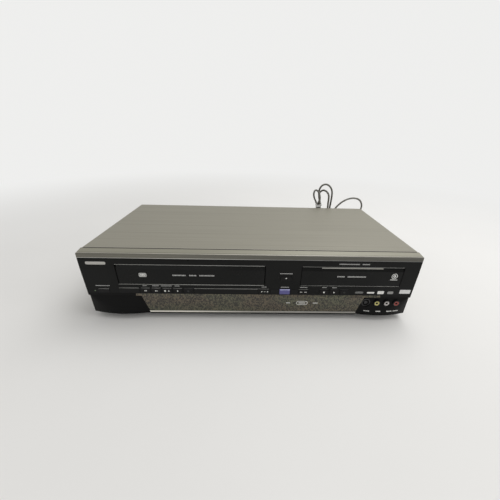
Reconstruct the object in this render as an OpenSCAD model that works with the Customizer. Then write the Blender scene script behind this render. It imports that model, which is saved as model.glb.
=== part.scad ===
// Combination player for discs and video cassettes, as an assembly.
// X runs along the front panel, to the right as the user sees it, Y to the back, Z up.
// The origin is on the table, under the middle of the cabinet's box. Millimetres.

/* [Cabinet] */
// From the cabinet's left side to the cassette flap
left_w = 44.5; // [42:0.5:60]
// From the cassette flap to the door of the disc tray
middle_w = 48.4; // [44:0.2:70]
// From the door of the disc tray to the cabinet's right side
right_w = 21.1; // [18:0.2:40]
// Depth from the flat of the front panel to the cover's rear edge
body_d = 215; // [214:1:235]
// Height of the lower part of the front, with the window
lower_h = 27; // [24:0.2:32]
// Height of the strip with the row of keys
band_h = 18.2; // [16.4:0.2:24]
// Height of the cabinet above the cassette flap
upper_h = 17.1; // [15:0.2:30]
// Width of the left lower corner at its top
left_pod_w = 69.5; // [60:0.5:80]
// Width of the right lower corner at its top, which holds the sockets
right_pod_w = 64.5; // [62:0.5:80]
// Height of the feet, from the table to the underside of the chassis
foot_h = 9.5; // [8:0.5:11]
// Thickness of the cover, the rear panel and the deck plate
sheet_t = 1; // [0.8:0.1:1.2]
// Wall of the front moulding
front_t = 2.5; // [2:0.1:2.8]
// Depth of the silver strip on top of the front panel
trim_d = 13.6; // [12:0.2:15]
// Gap between that strip and the cover
groove_w = 0.8; // [0.5:0.1:1.2]
// How far the lower corners of the front swell out before the flat face
pod_bulge = 4.8; // [2:0.2:6]
// Length of the aerial sockets behind the cover's rear edge
rear_reach = 10.8; // [8:0.2:13]
// Radius of a foot
foot_r = 13; // [10:0.5:15]

/* [Cassette side] */
// Width of the cassette flap
flap_w = 188; // [187:0.5:189]
// Height of the cassette flap
flap_h = 27; // [26.8:0.1:27.3]
// How far the carriage draws the cassette in
carriage_in = 36; // [30:1:36]
// How far the carriage lowers the cassette
carriage_down = 20; // [16:0.5:20]
// Diameter of the tape drum
drum_d = 62; // [60:0.5:62]
// Tilt of the tape drum
drum_tilt = 6; // [4:0.5:6]
// Distance between the two reel spindles
reel_pitch = 93; // [90:0.5:95]
// Radius of the reel tables
reel_r = 20; // [17:0.5:22]

/* [Disc side] */
// Width of the door on the tray's front
door_w = 133; // [131:0.5:134]
// Height of that door
door_h = 27.1; // [26.8:0.1:27.4]
// Diameter of the tray's recess for a disc
disc_d = 121; // [120.6:0.1:121.6]
// How far the tray comes out
tray_out = 133; // [126:1:133]
// Teeth on the gear that drives the tray
gear_teeth = 18; // [16:1:19]
// How far the pickup travels along its rod
pickup_travel = 32; // [26:1:32]
// Angle by which the drive unit drops to free the tray
traverse_drop = 5; // [4.6:0.1:5.2]

/* [Controls] */
// Width of a key in the row
key_w = 12.2; // [11:0.1:12.6]
// Distance from key to key
key_pitch = 13.95; // [13.6:0.05:14.2]
// Height of a key in the row
key_h = 7.6; // [6.5:0.1:7.8]
// Gap around a key
key_gap = 0.35; // [0.25:0.05:0.4]
// Travel of a key
key_travel = 0.6; // [0.4:0.05:0.8]
// Distance from one round audio or video socket to the next
jack_pitch = 13.7; // [13:0.1:14.4]

/* [Mains lead] */
// Diameter of the lead
cord_d = 3.5; // [3:0.1:4]

/* [Hidden] */
$fn = 48;

// Clearance between parts that are fitted together but don't touch
fit = 0.3;
// Radial clearance of a pin or shaft in its bore
run = 0.05;

body_w = left_w + flap_w + middle_w + door_w + right_w;
half_w = body_w / 2;
face_y = -(body_d + rear_reach - pod_bulge) / 2;
front_in = face_y + front_t;
cover_front = face_y + trim_d + groove_w;
cover_back = face_y + body_d;
panel_out = cover_back - 1.2;
panel_in = panel_out - sheet_t;
floor_t = 1.2;
floor_z = foot_h + floor_t;
side_t = 2.2;
side_gap = 0.6;

// Levels of the front, counted from the underside of the chassis
low_z = foot_h - 0.5;
lip_z = foot_h + lower_h;
opening_z = lip_z + band_h;
flap_z = opening_z + 0.5;
body_h = flap_z + flap_h + upper_h;
top_in = body_h - sheet_t;
fold_z = opening_z + 21.8;
black_top = body_h - 7.4;
corner_z = body_h - 1.9;
face_lean = 0.6;
bevel = 2;
flange_t = 2;

// Smoked window in the lower front
win_x = (left_pod_w - right_pod_w) / 2;
win_top = body_w - left_pod_w - right_pod_w;
win_bot = win_top - 16.4;
ear_h = 2.9;
ear_left = win_x - win_top / 2 - 7;
ear_right = win_x + win_top / 2 + 22;
win_proud = 0.8;
win_back = 1.6;

// Cassette side
vcr_x = -half_w + left_w + flap_w / 2;
hinge_y = face_y + 5.2;
hinge_z = flap_z + flap_h - 2.4;
pin_r = 1.5;
ear_t = 3;

// Disc side
tray_x = half_w - right_w - door_w / 2;
door_z = opening_z + 0.2;
door_t = 2.4;

// Keys: the row's lower edge, their stems and the switches behind them
key_z = lip_z + ear_h + 1.3;
stem_end = face_y + 7.6;
switch_tip = stem_end + key_travel + 0.3;
board_y = face_y + trim_d + 0.2;
board_t = 1.6;
board_top = key_z + key_h + 1.2;
first_key = vcr_x - 62.2;
first_disc_key = tray_x - 33.7;
standby_x = -half_w + 22.1;
rocker_x = vcr_x + 94.2;
rocker_w = 14.9;
dub_x = tray_x - 86.9;
select_x = tray_x - 61.7;
eject_x = tray_x - 86.4;
eject_z = opening_z + 7.5;
eject_h = 6.2;
power_h = 5.7;

// Front sockets, beyond the window's right corner
jack_in = 19.2;
jack_x = win_x + win_top / 2 + jack_in;
jack_z = lip_z - 8.7;
jack_tip = face_y - 2.5;
jack_board_y = face_y + 18;
barrel_r = 4.15;
s_jack_x = jack_x - 15;
s_jack_r = 6;

// Tape deck
deck_z = foot_h + 18.5;
deck_top = deck_z + sheet_t;
deck_front = face_y + 18.5;
drum_y = 50;
drum_r = drum_d / 2;
basket_w = flap_w + 3.5;
basket_y = hinge_y + 28;
basket_l = 55;
basket_floor = opening_z + 0.3;
basket_top = basket_floor + 29.6;
wall = 1;
slider_in = basket_w / 2 + 0.5;
bracket_in = slider_in + wall + 0.4;
deck_half = bracket_in + wall + 0.6;
peg_r = 2;
peg_z = basket_top - 10;
peg_y = [basket_y + 16, basket_y + 42];
runner_z = peg_z + 7;
reel_y = -38;
capstan_at = [47, 5];
arm_at = [72, 22];
arm_l = 25.3;
arm_rest = 176.8;
roller_r = 6;
guide_from = [25, 2];
guide_run = [17, 56];
guide_l = norm(guide_run);
guide_turn = atan2(guide_run[0], guide_run[1]);

// Disc drive
tray_w = door_w - 5;
tray_front = face_y + door_t;
tray_back = tray_front + tray_out + 30;
tray_low = opening_z + 5.3;
tray_plate = tray_low + 2;
tray_top = tray_plate + 5;
disc_y = tray_front + 68.6;
slot_half = 22;
loader_in = tray_w / 2 + 0.8;
loader_out = loader_in + 2.5;
loader_front = board_y + board_t + 0.5;
loader_back = tray_back + 8.6;
loader_z = tray_low - 14;
loader_floor = loader_z + 2;
gear_m = 1;
gear_pitch_r = gear_m * gear_teeth / 2;
gear_at = [-41, loader_front + 11];
gear_z = loader_floor + 6;
gear_h = 7.3;
pickup_y = [disc_y + 16, disc_y + 42];
pivot_y = pickup_y[1] + pickup_travel + 17.5;
pivot_z = loader_floor + 7;
plate_low = pivot_z - 2;
plate_high = pivot_z + 2;
disc_seat = tray_top - 0.6;
bridge_z = tray_top + 9;
clamp_gap = 0.6;
unit_half = 41.5;
ear_in = unit_half + 2.8;
ear_out = ear_in + 4.2;
rod_x = 26;
rod_r = 1.5;
screw_r = 1.8;
screw_pitch = 4.2;

// Electronics
pcb_z = foot_h + 8;
pcb_top = pcb_z + board_t;
main_x = [vcr_x + deck_half + 5.75, tray_x - 4.9];
power_x = [tray_x - 0.9, half_w - 6];
fan_x = tray_x - 25.9;
fan_z = foot_h + 46.5;
fan_s = 40;
fan_t = 10;
rear_x = -52;
rear_pitch = 16;
rear_z = [foot_h + 20, foot_h + 38];
tuner_x = -half_w + 19.5;
aerial_z = [foot_h + 28, foot_h + 52];
aerial_r = 4.75;

// Mains lead: where it leaves, the tied hank behind the cabinet and the way between
exit_x = half_w - 17.5;
exit_z = 30;
exit_y = cover_back + 23.5;
hank_x = 146;
hank_w = 31;
hank_h = 144;
hank_y = [109.5, 134];
lead_up = [
  [exit_x, exit_y, exit_z], [exit_x, exit_y + 8, exit_z], [203, 144, 33], [210, 149, 41],
  [220, 150, 54], [229, 147, 69], [233, 142, 85], [231, 137, 99], [223, 133, 109.5],
  [211, 130, 114], [198, 127.5, 113.3], [187, 125, 109], [177.5, 123, 102],
  [170, 121.5, 93], [164.5, 120.5, 82], [161.5, 119, 70]
];
plug_at = [108, 126, 7];
lead_down = [[130.5, 128.5, 20], [125.5, 128, 12.5], [118, 127, 8], plug_at];

// ---------- shared shapes ----------

// A box from its lower and upper bounds along each axis
module block(x, y, z)
  translate([x[0], y[0], z[0]])
    cube([x[1] - x[0], y[1] - y[0], z[1] - z[0]]);

// An outline in Y and Z, drawn out along X
module along_x(x)
  translate([x[0], 0, 0])
    rotate([90, 0, 90])
      linear_extrude(x[1] - x[0])
        children();

// An outline in X and Z, drawn out along Y
module along_y(y)
  translate([0, y[1], 0])
    rotate([90, 0, 0])
      linear_extrude(y[1] - y[0])
        children();

// A round bar along Y
module rod_y(x, z, r, y)
  translate([x, y[0], z])
    rotate([-90, 0, 0])
      cylinder(r = r, h = y[1] - y[0]);

// A round bar along X
module rod_x_bar(y, z, r, x)
  translate([x[0], y, z])
    rotate([0, 90, 0])
      cylinder(r = r, h = x[1] - x[0]);

// A round bar along Z
module post(at, r, z)
  translate([at[0], at[1], z[0]])
    cylinder(r = r, h = z[1] - z[0]);

// A rectangle with round corners
module round_rect(w, h, r)
  union() {
    translate([-w / 2 + r, -h / 2])
      square([w - 2 * r, h]);
    translate([-w / 2, -h / 2 + r])
      square([w, h - 2 * r]);
    for (x = [-1, 1], y = [-1, 1])
      translate([x * (w / 2 - r), y * (h / 2 - r)])
        circle(r);
  }

// The two sides of a pair, at the same distance from a middle
function pair(middle, side, near, far) =
  side < 0 ? [middle - far, middle - near] : [middle + near, middle + far];

// ---------- cabinet ----------

deck_posts = [for (x = [-90, 90], y = [-84, 62]) [vcr_x + x, y]];
board_posts = [
  [main_x[0] + 8, -80], [main_x[1] - 21, -80], [main_x[0] + 8, 90], [main_x[1] - 9, 90],
  [power_x[0] + 9, 10], [power_x[1] - 7.5, 10], [power_x[0] + 9, 72],
  [vcr_x - 81, 91], [vcr_x + 49, 91]
];
loader_posts = [
  for (x = [-1, 1], y = [loader_front + 10, loader_back - 8])
    [tray_x + x * (loader_in - 6), y]
];
foot_at = [for (x = [-1, 1], y = [-82, 78]) [x * (half_w - 42), y]];

// Screws: the cover's at the sides, and one up through each foot
screw_y = [-60, 66];
screw_z = foot_h + 9;
screw_r2 = 1.4;
hole_r = 1.5;
head_r = 3;
recess_top = foot_h - 3;

module chassis_pan() color("#3a3a3a")
  difference() {
    union() {
      block([-half_w + sheet_t + side_gap, half_w - sheet_t - side_gap],
            [cover_front + fit, panel_in], [foot_h, floor_z]);
      for (s = [-1, 1])
        block(pair(0, s, half_w - sheet_t - side_gap - floor_t, half_w - sheet_t - side_gap),
              [cover_front + fit, panel_in], [foot_h, foot_h + 14]);
      for (p = deck_posts)
        post(p, 4, [foot_h, deck_z]);
      for (p = board_posts)
        post(p, 3, [foot_h, pcb_z]);
      for (p = loader_posts)
        post(p, 3.5, [foot_h, loader_z]);
    }
    // Vents
    for (i = [0 : 6])
      block([tray_x + 14, tray_x + 52], [14 + i * 5.4, 16.4 + i * 5.4],
            [foot_h - 1, floor_z + 1]);
    for (i = [0 : 9])
      block([vcr_x - 71, vcr_x - 11], [-40 + i * 6, -37.5 + i * 6], [foot_h - 1, floor_z + 1]);
    for (p = foot_at)
      post(p, hole_r, [foot_h - 1, floor_z + 1]);
    for (s = [-1, 1], y = screw_y)
      rod_x_bar(y, screw_z, hole_r, pair(0, s, half_w - 5, half_w));
  }

module cover_outline(grow)
  translate([0, (foot_h + body_h) / 2])
    round_rect(body_w - 2 * grow, body_h - foot_h - 2 * grow, 2.2 - grow);

module top_cover() color("#96938a")
  difference() {
    along_y([cover_front, cover_back])
      difference() {
        cover_outline(0);
        cover_outline(sheet_t);
        translate([-half_w - 1, foot_h - 1])
          square([body_w + 2, 4]);
      }
    for (s = [-1, 1], i = [0 : 11])
      block(pair(0, s, half_w - sheet_t - 1, half_w + 1), [10 + i * 6, 12.4 + i * 6],
            [foot_h + 40, foot_h + 62]);
    for (s = [-1, 1], y = screw_y)
      rod_x_bar(y, screw_z, hole_r, pair(0, s, half_w - sheet_t - 1, half_w + 1));
  }

module rear_panel() color("#8a8a86")
  difference() {
    union() {
      block([-half_w + sheet_t + 0.7, half_w - sheet_t - 0.7], [panel_in, panel_out],
            [foot_h + fit, top_in - fit]);
      block([-half_w + 6, -half_w + 200], [panel_in - 3, panel_in], [top_in - 1.3, top_in - fit]);
      block([half_w - 200, half_w - 6], [panel_in - 3, panel_in], [top_in - 1.3, top_in - fit]);
    }
    for (i = [0 : 5], z = rear_z)
      rod_y(rear_x + i * rear_pitch, z, barrel_r + 0.85, [panel_in - 1, panel_out + 1]);
    for (z = aerial_z)
      rod_y(tuner_x, z, aerial_r + 0.75, [panel_in - 1, panel_out + 1]);
    rod_y(exit_x, exit_z, 5.3, [panel_in - 1, panel_out + 1]);
    for (r = [6, 11, 16])
      for (q = [0 : 3])
        intersection() {
          difference() {
            rod_y(fan_x, fan_z, r + 1.4, [panel_in - 1, panel_out + 1]);
            rod_y(fan_x, fan_z, r - 1.4, [panel_in - 1.5, panel_out + 1.5]);
          }
          translate([fan_x, 0, fan_z])
            rotate([0, 90 * q, 0])
              block([1.2, 25], [panel_in - 1, panel_out + 1], [1.2, 25]);
        }
    for (i = [0 : 9])
      block([exit_x - 54 + i * 5, exit_x - 51.6 + i * 5], [panel_in - 1, panel_out + 1],
            [foot_h + 50, foot_h + 74]);
  }

// Plan of a lower corner's front at its foot, from the outer side to the window
function swell(outer, inner, n = 12) = [
  for (i = [0 : n])
    let (t = i / n)
      [outer + (inner - outer) * t,
       face_y + 1.5 - 2.3 * t - (pod_bulge + 0.3) * (1 - (2 * t - 1) * (2 * t - 1))]
];

module pod_shell(s, t)
  let (outer = s * (half_w - 0.8 - t),
       top_inner = win_x + s * (win_top / 2 + 0.2),
       low_inner = win_x + s * (win_bot / 2 + 0.2),
       back = face_y + trim_d + (t > 0 ? 1 : 0))
    hull() {
      translate([0, 0, lip_z - 0.1 - t])
        linear_extrude(0.1)
          polygon([
            [outer, face_y + 1.5 + t], [top_inner, face_y + 1.5 + t], [top_inner, back],
            [outer, back]
          ]);
      translate([0, t, low_z + t])
        linear_extrude(4)
          polygon(concat(swell(outer, low_inner), [[low_inner, back - t], [outer, back - t]]));
    }

module front_bezel() color("#1b1c1b")
  difference() {
    union() {
      // Upper wall, with the slight fold along its whole width
      along_x([-half_w, half_w])
        polygon([
          [face_y, lip_z], [face_y, fold_z], [face_y + face_lean, black_top],
          [face_y + face_lean + front_t, black_top], [front_in, fold_z], [front_in, lip_z]
        ]);
      for (s = [-1, 1])
        block(pair(0, s, half_w - side_t, half_w), [front_in - 1, face_y + trim_d],
              [lip_z - 1, black_top]);
      block([-half_w, half_w], [front_in - 1, face_y + trim_d], [black_top - 2, black_top]);
      // Wall behind the window, and the flange along the bottom
      block([ear_left - 0.3, ear_right + 0.3], [face_y + win_back, face_y + 4],
            [low_z, lip_z + ear_h]);
      block([-half_w + 3, half_w - 3], [face_y + win_back, cover_front],
            [foot_h, foot_h + flange_t]);
      for (s = [-1, 1])
        difference() {
          pod_shell(s, 0);
          pod_shell(s, front_t);
        }
      // Ears that carry the pins of the flap
      for (s = [-1, 1])
        block(pair(vcr_x, s, flap_w / 2 + 0.6, flap_w / 2 + 0.6 + ear_t),
              [front_in - 0.5, hinge_y + 3.5], [hinge_z - 4, hinge_z + 4]);
      // Bearings of the channel rocker
      for (z = [key_z - 2.1, key_z + key_h + 0.5])
        block([rocker_x - 2.5, rocker_x + 2.5], [front_in - 0.5, face_y + 5.2], [z, z + 1.6]);
    }
    // Openings for the cassette and the tray
    block([vcr_x - flap_w / 2 - key_gap, vcr_x + flap_w / 2 + key_gap],
          [face_y - 1, front_in + 1], [opening_z - 0.5, flap_z + flap_h + 0.5]);
    block([tray_x - door_w / 2 - 0.4, tray_x + door_w / 2 + 0.4],
          [face_y - 1, front_in + 1], [door_z - 0.4, door_z + door_h + 0.4]);
    // Notch for the upper strip of the window, and the hole to the display
    block([ear_left - 0.3, ear_right + 0.3], [face_y - 1, face_y + win_back],
          [lip_z - 0.1, lip_z + ear_h + 0.2]);
    block([-60, 100], [face_y, face_y + 5], [foot_h + 6, foot_h + 24]);
    along_y([face_y - 6, face_y + win_back])
      window_outline(0.15);
    // Keys
    for (k = keys)
      block([k[0] - k[1] / 2 - key_gap, k[0] + k[1] / 2 + key_gap],
            [face_y - 1, front_in + 0.5], [k[2] - key_gap, k[2] + k[3] + key_gap]);
    // Sockets
    for (i = [0 : 2])
      rod_y(jack_x + i * jack_pitch, jack_z, barrel_r + 0.35, [face_y - 8, face_y + 15]);
    rod_y(s_jack_x, jack_z + 0.3, s_jack_r + fit, [face_y - 8, face_y + 15]);
    // Bores
    rod_x_bar(hinge_y, hinge_z, pin_r + run,
              [vcr_x - flap_w / 2 - 5, vcr_x + flap_w / 2 + 5]);
    post([rocker_x, face_y + 3.8], 0.8 + run, [key_z - 3, key_z + key_h + 3]);
  }

module window_outline(grow)
  polygon([
    [win_x - win_top / 2 - grow, lip_z + 0.01], [win_x + win_top / 2 + grow, lip_z + 0.01],
    [win_x + win_bot / 2 + grow, low_z], [win_x - win_bot / 2 - grow, low_z]
  ]);

function trim_front() = [
  [face_y + face_lean, black_top], [face_y + 0.8, corner_z - 0.6], [face_y + 1.5, corner_z],
  [face_y + trim_d, body_h]
];

module top_trim() color("#a9a596")
  union() {
    along_x([-half_w, half_w])
      polygon(concat(trim_front(), [
        [face_y + trim_d, body_h - 2], [face_y + 3, corner_z - 2],
        [face_y + face_lean + 2.2, black_top]
      ]));
    // The ends
    for (s = [-1, 1])
      along_x(pair(0, s, half_w - side_t, half_w))
        polygon(concat(trim_front(), [[face_y + trim_d, black_top]]));
  }

module display_window() color("#4b4840")
  union() {
    along_y([face_y - win_proud, face_y + win_back])
      window_outline(0);
    along_x([ear_left, ear_right])
      polygon([
        [face_y - win_proud, lip_z], [face_y + 0.3, lip_z + ear_h],
        [face_y + win_back, lip_z + ear_h], [face_y + win_back, lip_z]
      ]);
  }

module window_trim() color("#c9c4b4")
  intersection() {
    along_y([face_y - win_proud - 0.8, face_y - win_proud])
      window_outline(0);
    block([-half_w, half_w], [face_y - 5, face_y + 1], [low_z - 1, low_z + 2.6]);
  }

module feet() color("#202020")
  for (p = foot_at)
    translate([p[0], p[1], 0])
      difference() {
        union() {
          cylinder(r1 = foot_r - 1.5, r2 = foot_r, h = foot_h);
          cylinder(r = foot_r - 3, h = foot_h);
        }
        translate([0, 0, -1])
          cylinder(r = head_r + 0.2, h = recess_top + 1);
        cylinder(r = hole_r, h = foot_h + 1);
      }

module cover_screw(s, y)
  union() {
    rod_x_bar(y, screw_z, head_r, pair(0, s, half_w, half_w + 1.4));
    rod_x_bar(y, screw_z, screw_r2, pair(0, s, half_w - 3.5, half_w + 0.5));
  }

module foot_screw(p)
  union() {
    post(p, head_r, [recess_top - 2, recess_top]);
    post(p, screw_r2, [recess_top - 1, floor_z + 2]);
  }

module screws() color("#555555")
  union() {
    for (s = [-1, 1], y = screw_y)
      cover_screw(s, y);
    for (p = foot_at)
      foot_screw(p);
  }

// ---------- keys ----------

// Middle, width, lower edge and height of every key's opening
keys = concat(
  [for (i = [0 : 4]) [first_key + i * key_pitch, key_w, key_z, key_h]],
  [for (i = [0 : 2]) [first_disc_key + i * key_pitch, key_w, key_z, key_h]],
  [
    [standby_x, 13.8, key_z + 0.2, power_h], [dub_x, 13.6, key_z, key_h],
    [select_x, 13, key_z, key_h], [eject_x, 14.3, eject_z, eject_h],
    [rocker_x, rocker_w, key_z, key_h]
  ]
);

// A key with its bevelled top edge, the flange that holds it in, and its stem
module key(k)
  union() {
    along_x([k[0] - k[1] / 2, k[0] + k[1] / 2])
      polygon([
        [face_y - 0.5, k[2]], [face_y - 0.5, k[2] + k[3] - 1.4],
        [face_y + 0.4, k[2] + k[3]], [front_in + 0.6, k[2] + k[3]], [front_in + 0.6, k[2]]
      ]);
    block([k[0] - k[1] / 2, k[0] + k[1] / 2], [front_in + fit, front_in + fit + 1.2],
          [k[2] + k[3] - 1, k[2] + k[3] + 1]);
    block([k[0] - 1.5, k[0] + 1.5], [front_in, stem_end],
          [k[2] + k[3] / 2 - 1.5, k[2] + k[3] / 2 + 1.5]);
  }

module rewind_button() color("#232423") key(keys[0]);
module forward_button() color("#232423") key(keys[1]);
module stop_eject_button() color("#232423") key(keys[2]);
module vcr_play_button() color("#232423") key(keys[3]);
module vcr_record_button() color("#232423") key(keys[4]);
module dvd_stop_button() color("#232423") key(keys[5]);
module dvd_play_button() color("#232423") key(keys[6]);
module dvd_record_button() color("#232423") key(keys[7]);
module power_button() color("#232423") key(keys[8]);
module dubbing_button() color("#5a5688") key(keys[9]);
module select_button() color("#232423") key(keys[10]);
module open_close_button() color("#232423") key(keys[11]);

module channel_rocker() color("#232423")
  let (k = keys[12])
    union() {
      along_x([k[0] - k[1] / 2, k[0] + k[1] / 2])
        polygon([
          [face_y - 0.3, k[2]], [face_y - 0.3, k[2] + k[3] - 1.4],
          [face_y + 0.6, k[2] + k[3]], [face_y + 5, k[2] + k[3]], [face_y + 5, k[2]]
        ]);
      post([k[0], face_y + 3.8], 0.8, [k[2] - 1.8, k[2] + k[3] + 1.8]);
      for (x = [-5, 5])
        block([k[0] + x - 1, k[0] + x + 1], [face_y + 4.5, switch_tip - 0.4],
              [k[2] + k[3] / 2 - 1, k[2] + k[3] / 2 + 1]);
    }

// ---------- front electronics ----------

module tact_switch(x, z)
  union() {
    block([x - 3, x + 3], [switch_tip + 1, board_y], [z - 3, z + 3]);
    rod_y(x, z, 1.6, [switch_tip, switch_tip + 1]);
  }

module front_board() color("#2f6b3c")
  union() {
    block([-half_w + 8, tray_x + 8], [board_y, board_y + board_t],
          [foot_h + flange_t, board_top]);
    block([eject_x - 10, eject_x + 10], [board_y, board_y + board_t],
          [board_top, eject_z + eject_h + 4]);
    for (i = [0 : 11])
      tact_switch(keys[i][0], keys[i][2] + keys[i][3] / 2);
    for (x = [-5, 5])
      tact_switch(rocker_x + x, key_z + key_h / 2);
  }

module display_module() color("#303838")
  union() {
    block([-42, 42], [face_y + 5, face_y + 10], [foot_h + 6, foot_h + 24]);
    block([-36, 36], [face_y + 10, board_y], [foot_h + 8, foot_h + 22]);
    for (x = [57.2, 79.2])
      rod_y(x, foot_h + 17.6, 1.5, [face_y + 3, board_y]);
  }

// A round audio or video socket seen from its plug's side, its mouth towards -Y
module round_socket_front(x, z, tip, back)
  difference() {
    union() {
      rod_y(x, z, barrel_r, [tip, back]);
      block([x - 5.5, x + 5.5], [back - 8, back + 4], [z - 6, z + 6]);
    }
    rod_y(x, z, 1.7, [tip - 1, tip + 8]);
    difference() {
      rod_y(x, z, barrel_r - 0.45, [tip - 1, tip + 0.4]);
      rod_y(x, z, 1.7, [tip - 2, tip + 1]);
    }
  }

module front_jacks() color("#d8c840")
  union() {
    for (i = [0 : 2])
      round_socket_front(jack_x + i * jack_pitch, jack_z, jack_tip, jack_board_y - 4);
    block([s_jack_x - 8, jack_x + 2 * jack_pitch + 6], [jack_board_y, jack_board_y + board_t],
          [floor_z, foot_h + 28]);
  }

module s_video_jack() color("#161616")
  difference() {
    union() {
      rod_y(s_jack_x, jack_z + 0.3, s_jack_r, [face_y - 0.6, face_y + trim_d + 1]);
      block([s_jack_x - 7, s_jack_x + 7], [face_y + trim_d + 0.5, jack_board_y],
            [jack_z - 7, jack_z + 7]);
    }
    difference() {
      rod_y(s_jack_x, jack_z + 0.3, 4.7, [face_y - 2, face_y + 6]);
      rod_y(s_jack_x, jack_z + 0.3, 2.6, [face_y, face_y + 7]);
    }
  }

// ---------- cassette side ----------

function lid_profile(z, h) = [
  [face_y, z], [face_y, fold_z], [face_y + bevel, z + h], [face_y + bevel + 2.2, z + h],
  [face_y + door_t, fold_z - 1], [face_y + door_t, z]
];

module cassette_flap() color("#1e1f1e")
  let (half = flap_w / 2)
    union() {
      along_x([vcr_x - half, vcr_x + half])
        polygon(lid_profile(flap_z, flap_h));
      // Lugs at the ends, and the pins that turn in the ears of the front
      for (s = [-1, 1])
        block(pair(vcr_x, s, half - 3, half), [face_y + 2, hinge_y + 2.2],
              [hinge_z - 6, hinge_z + 2.2]);
      rod_x_bar(hinge_y, hinge_z, pin_r, [vcr_x - half - 9.5, vcr_x - half]);
      rod_x_bar(hinge_y, hinge_z, pin_r, [vcr_x + half, vcr_x + half + ear_t + 1]);
      for (x = [-60, 0, 60])
        block([vcr_x + x - 0.8, vcr_x + x + 0.8], [face_y + 2, face_y + 4.5],
              [flap_z + 2, hinge_z - 2]);
    }

// Outline of a close-wound spring's turns, cut through on one side
function wound(inner, outer, turns, wire) = concat(
  [[inner, 0]],
  [for (i = [0 : 2 * turns]) [i % 2 == 0 ? outer - wire / 2 : outer, i * wire / 2]],
  [[inner, turns * wire]]
);

module flap_spring() color("#b8b8b8")
  let (x0 = vcr_x - flap_w / 2 - ear_t - 1.2, turns = 6, wire = 0.5, inner = pin_r + 0.2)
    union() {
      translate([x0, hinge_y, hinge_z])
        rotate([0, -90, 0])
          rotate_extrude()
            polygon(wound(inner, inner + wire, turns, wire));
      // The two legs, one down behind the flap's end and one up along the wall
      translate([x0 - wire / 2, hinge_y + inner + wire / 2, hinge_z - 9])
        cylinder(r = wire / 2, h = 9);
      translate([x0 - (turns - 0.5) * wire, hinge_y - inner - wire / 2, hinge_z])
        cylinder(r = wire / 2, h = 6);
    }

module guide_slot(s)
  translate([vcr_x + s * guide_from[0], guide_from[1], deck_z - 1])
    rotate([0, 0, -s * guide_turn])
      union() {
        translate([-2.2, 0, 0])
          cube([4.4, guide_l, sheet_t + 2]);
        for (y = [0, guide_l])
          translate([0, y, 0])
            cylinder(r = 2.2, h = sheet_t + 2);
      }

module deck_plate() color("#a0a29e")
  difference() {
    union() {
      block([vcr_x - deck_half, vcr_x + deck_half], [deck_front, 80], [deck_z, deck_top]);
      post([vcr_x + capstan_at[0], capstan_at[1]], 4, [deck_z, deck_top + 7]);
      post([vcr_x + arm_at[0], arm_at[1]], 2, [deck_z, deck_top + 17]);
      post([vcr_x + arm_at[0], arm_at[1]], 4.5, [deck_z, deck_top + 7.7]);
      for (s = [-1, 1])
        post([vcr_x + s * reel_pitch / 2, reel_y], 2, [deck_z, deck_top + 14]);
      for (s = [-1, 1])
        post([vcr_x + s * reel_pitch / 2, reel_y], 5, [deck_z, deck_top + 2.5]);
    }
    post([vcr_x + capstan_at[0], capstan_at[1]], 1.5 + run, [deck_z - 1, deck_top + 8]);
    guide_slot(-1);
    guide_slot(1);
    block([vcr_x - 30, vcr_x + 30], [-80, -50], [deck_z - 1, deck_top + 1]);
  }

module side_brackets() color("#8c8e8a")
  for (s = [-1, 1])
    difference() {
      union() {
        block(pair(vcr_x, s, bracket_in, bracket_in + wall),
              [basket_y, basket_y + basket_l + carriage_in + 4], [deck_top, basket_top + 4]);
      }
      // The slot in which the slider's runners travel
      block(pair(vcr_x, s, bracket_in - 1, bracket_in + wall + 1),
            [basket_y + 8 - peg_r - 0.2, basket_y + 46 + carriage_in + peg_r + 0.2],
            [runner_z - peg_r - run, runner_z + peg_r + run]);
      block(pair(vcr_x, s, bracket_in - 1, bracket_in + wall + 1),
            [basket_y + 14, basket_y + 70], [deck_top + 8, deck_top + 20]);
    }

module carriage_slider() color("#d4d4cc")
  union() {
    for (s = [-1, 1])
      difference() {
        union() {
          block(pair(vcr_x, s, slider_in, slider_in + wall),
                [basket_y + 2, basket_y + basket_l - 3],
                [peg_z - carriage_down - 6, basket_top + 3.6]);
          for (y = [8, 46])
            rod_x_bar(basket_y + y, runner_z, peg_r,
                      pair(vcr_x, s, slider_in, bracket_in + wall + 0.2));
        }
        for (y = peg_y)
          block(pair(vcr_x, s, slider_in - 1, slider_in + wall + 0.2),
                [y - peg_r - 0.15, y + peg_r + 0.15],
                [peg_z - carriage_down - peg_r - fit, peg_z + peg_r + 0.15]);
      }
    block([vcr_x - slider_in - wall, vcr_x + slider_in + wall],
          [basket_y + 22, basket_y + 34], [basket_top + 2.4, basket_top + 3.6]);
  }

module cassette_basket() color("#b4b6b2")
  let (half = basket_w / 2, y = [basket_y, basket_y + basket_l])
    difference() {
      union() {
        block([vcr_x - half, vcr_x + half], y, [basket_top - wall, basket_top]);
        for (s = [-1, 1])
          union() {
            block(pair(vcr_x, s, half - wall, half), y, [basket_floor, basket_top]);
            block(pair(vcr_x, s, half - wall - 10, half), y,
                  [basket_floor, basket_floor + wall]);
            for (p = peg_y)
              rod_x_bar(p, peg_z, peg_r, pair(vcr_x, s, half - wall, slider_in + wall));
          }
      }
      block([vcr_x - 60, vcr_x + 60], [basket_y + 12, basket_y + basket_l - 12],
            [basket_top - 2, basket_top + 1]);
    }

// Everything on the drum's axis is drawn upright and leaned as one
module on_drum()
  translate([vcr_x, drum_y, deck_top + 4])
    rotate([0, drum_tilt, 0])
      children();

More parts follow.
